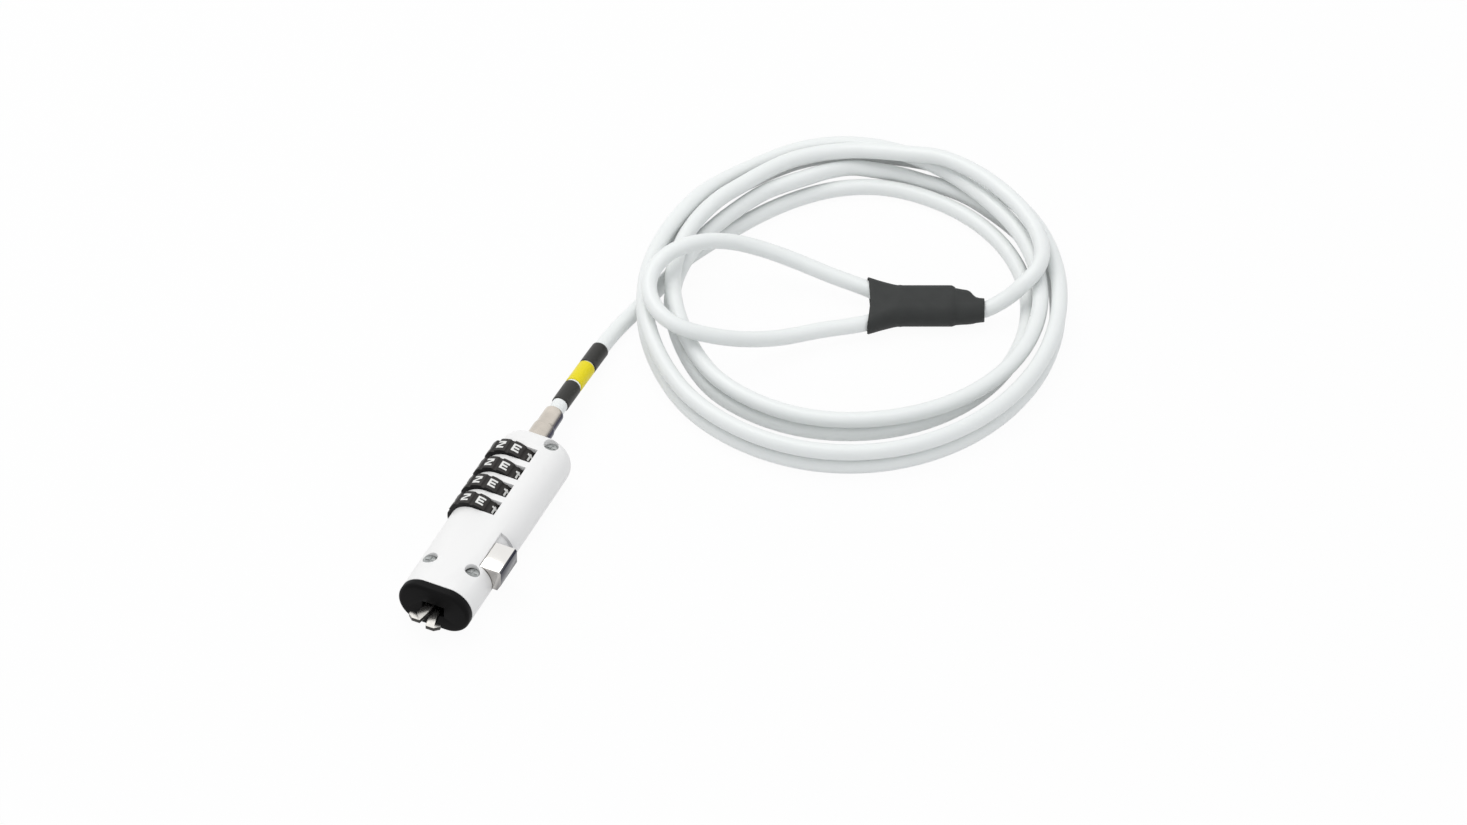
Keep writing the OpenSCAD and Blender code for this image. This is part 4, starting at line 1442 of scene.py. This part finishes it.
# ---------------------------------------------------------------- dials


# Lines of each squared digit, on a grid 0 to 1 across and 0 to 2 up
DIGIT_LINES: Tuple[Tuple[Tuple[Flat, ...], ...], ...] = (
    (((0, 0), (1, 0), (1, 2), (0, 2), (0, 0)),),
    (((0.15, 1.6), (0.55, 2), (0.55, 0)),),
    (((0, 2), (1, 2), (1, 1.55), (0, 0.45), (0, 0), (1, 0)),),
    (((0, 2), (1, 2), (1, 0), (0, 0)), ((0.15, 1), (1, 1))),
    (((0, 2), (0, 0.3), (1, 0.3)), ((0.62, 1.8), (0.62, 0))),
    (((1, 2), (0, 2), (0, 1.1), (1, 1.1), (1, 0), (0, 0)),),
    (((1, 2), (0, 2), (0, 0), (1, 0), (1, 1), (0, 1)),),
    (((0, 2), (1, 2), (0.4, 0)),),
    (((0, 0), (1, 0), (1, 2), (0, 2), (0, 0)), ((0, 1), (1, 1))),
    (((0, 0), (1, 0), (1, 2), (0, 2), (0, 1), (1, 1)),),
)


@dataclass
class Dials:
    """Four number dials with grooves between their white digits. Turns are in degrees."""

    sizes: LockSizes = LOCK
    bore_r: float = 3.02
    groove_r: float = 0.9
    groove_depth: float = 0.45
    groove_turn: float = -2.5
    groove_sides: int = 28
    rim_sides: int = 180
    rim_edge: float = 0.22
    digit_high: float = 2.75
    digit_wide: float = 2.3
    stroke: float = 0.6
    print_height: float = 0.04
    print_depth: float = 0.08
    print_turn: float = -3.5
    first_digit: int = 3

    def wheel(self) -> bpy.types.Object:
        """Models the first dial with its grooves.

        Returns:
            The dial.
        """
        s = self.sizes
        middle = s.at(s.dial_x, s.dial_y, s.dial_z)
        half = REARWARD * (s.dial_w / 2 * MM)
        wheel = bar(middle - half, middle + half, s.dial_r * MM, self.rim_sides)
        cutters = [bar(middle - 2 * half, middle + 2 * half, self.bore_r * MM)]
        for k in range(s.digit_n):
            a = math.radians(self.groove_turn + k * 360.0 / s.digit_n)
            away = (s.dial_r - self.groove_depth + self.groove_r) * MM
            spot = middle + Vector((math.sin(a) * away, 0, math.cos(a) * away))
            cutters.append(bar(spot - 2 * half, spot + 2 * half, self.groove_r * MM,
                               self.groove_sides))
        cut(wheel, cutters)
        clean(wheel)
        round_edges(wheel, self.rim_edge * MM, angle=40.0)
        smooth(wheel, angle=35.0)
        return wheel

    def digits(self) -> bpy.types.Object:
        """Models the ten printed digits of the first dial, from straight strokes cut to its rim.

        Returns:
            The digits as one mesh.
        """
        s = self.sizes
        middle = s.at(s.dial_x, s.dial_y, s.dial_z)
        made = []
        for k in range(s.digit_n):
            angle = self.groove_turn + self.print_turn + (k + 0.5) * 360.0 / s.digit_n
            for line in DIGIT_LINES[(self.first_digit + k) % s.digit_n]:
                made += [self._stroke(a, b, middle, angle) for a, b in zip(line, line[1:])]
        deselect()
        for one in made:
            one.select_set(True)
        bpy.context.view_layer.objects.active = made[0]
        bpy.ops.object.join()
        strokes = bpy.context.object
        half = REARWARD * (s.dial_w / 2 * MM)
        outer, inner = (s.dial_r + self.print_height) * MM, (s.dial_r - self.print_depth) * MM
        piece = bar(middle - half, middle + half, outer, self.rim_sides)
        cut(piece, [bar(middle - 2 * half, middle + 2 * half, inner, self.rim_sides)])
        combine(piece, strokes, Combine.KEEP, crossing=True)
        clean(piece)
        return piece

    def _stroke(self, start: Flat, end: Flat, middle: Vector, angle: float) -> bpy.types.Object:
        """Models one straight stroke of a digit as a bar that stands out of the dial.

        Args:
            start: Its first end on the digit's grid, 0 to 1 across and 0 to 2 up.
            end: Its other end.
            middle: The dial's middle.
            angle: The digit's place round the dial from the top, in degrees towards the button.

        Returns:
            The stroke, whose digit has its top towards the claws.
        """
        wide, high = self.digit_wide - self.stroke, self.digit_high - self.stroke
        ends = [Vector(((0.5 - x) * wide, (0.5 - y / 2) * high, 0.0)) for x, y in (start, end)]
        way = ends[1] - ends[0]
        turn = math.atan2(way.y, way.x)
        deselect()
        bpy.ops.mesh.primitive_cube_add(size=1.0, location=(0, 0, 0))
        piece = bpy.context.object
        size = Vector((way.length + self.stroke, self.stroke, 2 * self.stroke))
        cos, sin = math.cos(turn), math.sin(turn)
        spot = (ends[0] + ends[1]) / 2
        tilt = math.radians(angle)
        out = Vector((math.sin(tilt), 0.0, math.cos(tilt)))
        side = Vector((math.cos(tilt), 0.0, -math.sin(tilt)))
        for vertex in piece.data.vertices:
            x, y, z = (vertex.co[k] * size[k] for k in range(3))
            flat = Vector((spot.x + x * cos - y * sin, spot.y + x * sin + y * cos, z))
            place = side * flat.x + REARWARD * flat.y + out * (self.sizes.dial_r + flat.z)
            vertex.co = middle + place * MM
        return piece

    def build(self) -> None:
        """Makes the four dials and their digits."""
        first = {"wheel": self.wheel(), "digits": self.digits()}
        paints = {"wheel": Paint.DIAL_BLACK, "digits": Paint.DIGIT_WHITE}
        for i in range(self.sizes.dial_n):
            step = Vector((0.0, i * self.sizes.dial_pitch * MM, 0.0))
            for kind, model in first.items():
                piece = shifted_copy(model, f"dial_{i + 1}_{kind}", step)
                paints[kind].dress(piece)
                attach(piece, f"number_wheel_{i + 1}")
                if kind == "wheel":
                    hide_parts(f"dial_{i + 1}")
        for model in first.values():
            bpy.data.objects.remove(model, do_unlink=True)


# ---------------------------------------------------------------- claws and button


@dataclass
class Mechanism:
    """The two claws, the chrome slide button and the spring that pushes it forward."""

    claw_edge: float = 0.22
    claw_steps: int = 3
    button_edge: float = 0.5
    button_steps: int = 4

    def claws(self) -> None:
        """Models the two hook claws with softened edges."""
        for side in ("left", "right"):
            piece = merged_copy(f"claw_{side}", f"claw_{side}_hook")
            round_edges(piece, self.claw_edge * MM, self.claw_steps, angle=30.0)
            smooth(piece, angle=35.0)
            Paint.NICKEL.dress(piece)
            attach(piece, f"{side}_claw")
            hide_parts(f"claw_{side}")

    def button(self) -> None:
        """Models the slide button from its own section, with polished bevels."""
        piece = merged_copy("slide_button", "slide_button_plated")
        round_edges(piece, self.button_edge * MM, self.button_steps, angle=30.0)
        smooth(piece, angle=35.0)
        Paint.CHROME.dress(piece)
        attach(piece, "slider")
        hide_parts("slide_button")

    def spring(self) -> None:
        """Models the return spring as one fixed mesh; the real spring's turns close up as the slide
        plate comes back.
        """
        piece = merged_copy("return_spring", "return_spring_wound")
        smooth(piece, angle=70.0)
        Paint.STEEL.dress(piece)
        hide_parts("return_spring")
        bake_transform(piece)

    def build(self) -> None:
        """Makes the claws, the button and its spring."""
        self.claws()
        self.button()
        self.spring()


# ---------------------------------------------------------------- all of it


def main() -> None:
    """Builds the studio and each sub-assembly in order, and reports each piece."""
    logging.basicConfig(level=logging.INFO, format="%(name)s: %(message)s")
    for part in (Studio(), Cable(), Housing(), Dials(), Mechanism()):
        part.build()
        LOG.info("%s built", type(part).__name__)
    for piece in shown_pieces():
        LOG.info("%s: %d faces", piece.name, len(piece.data.polygons))


if __name__ == "__main__":
    main()
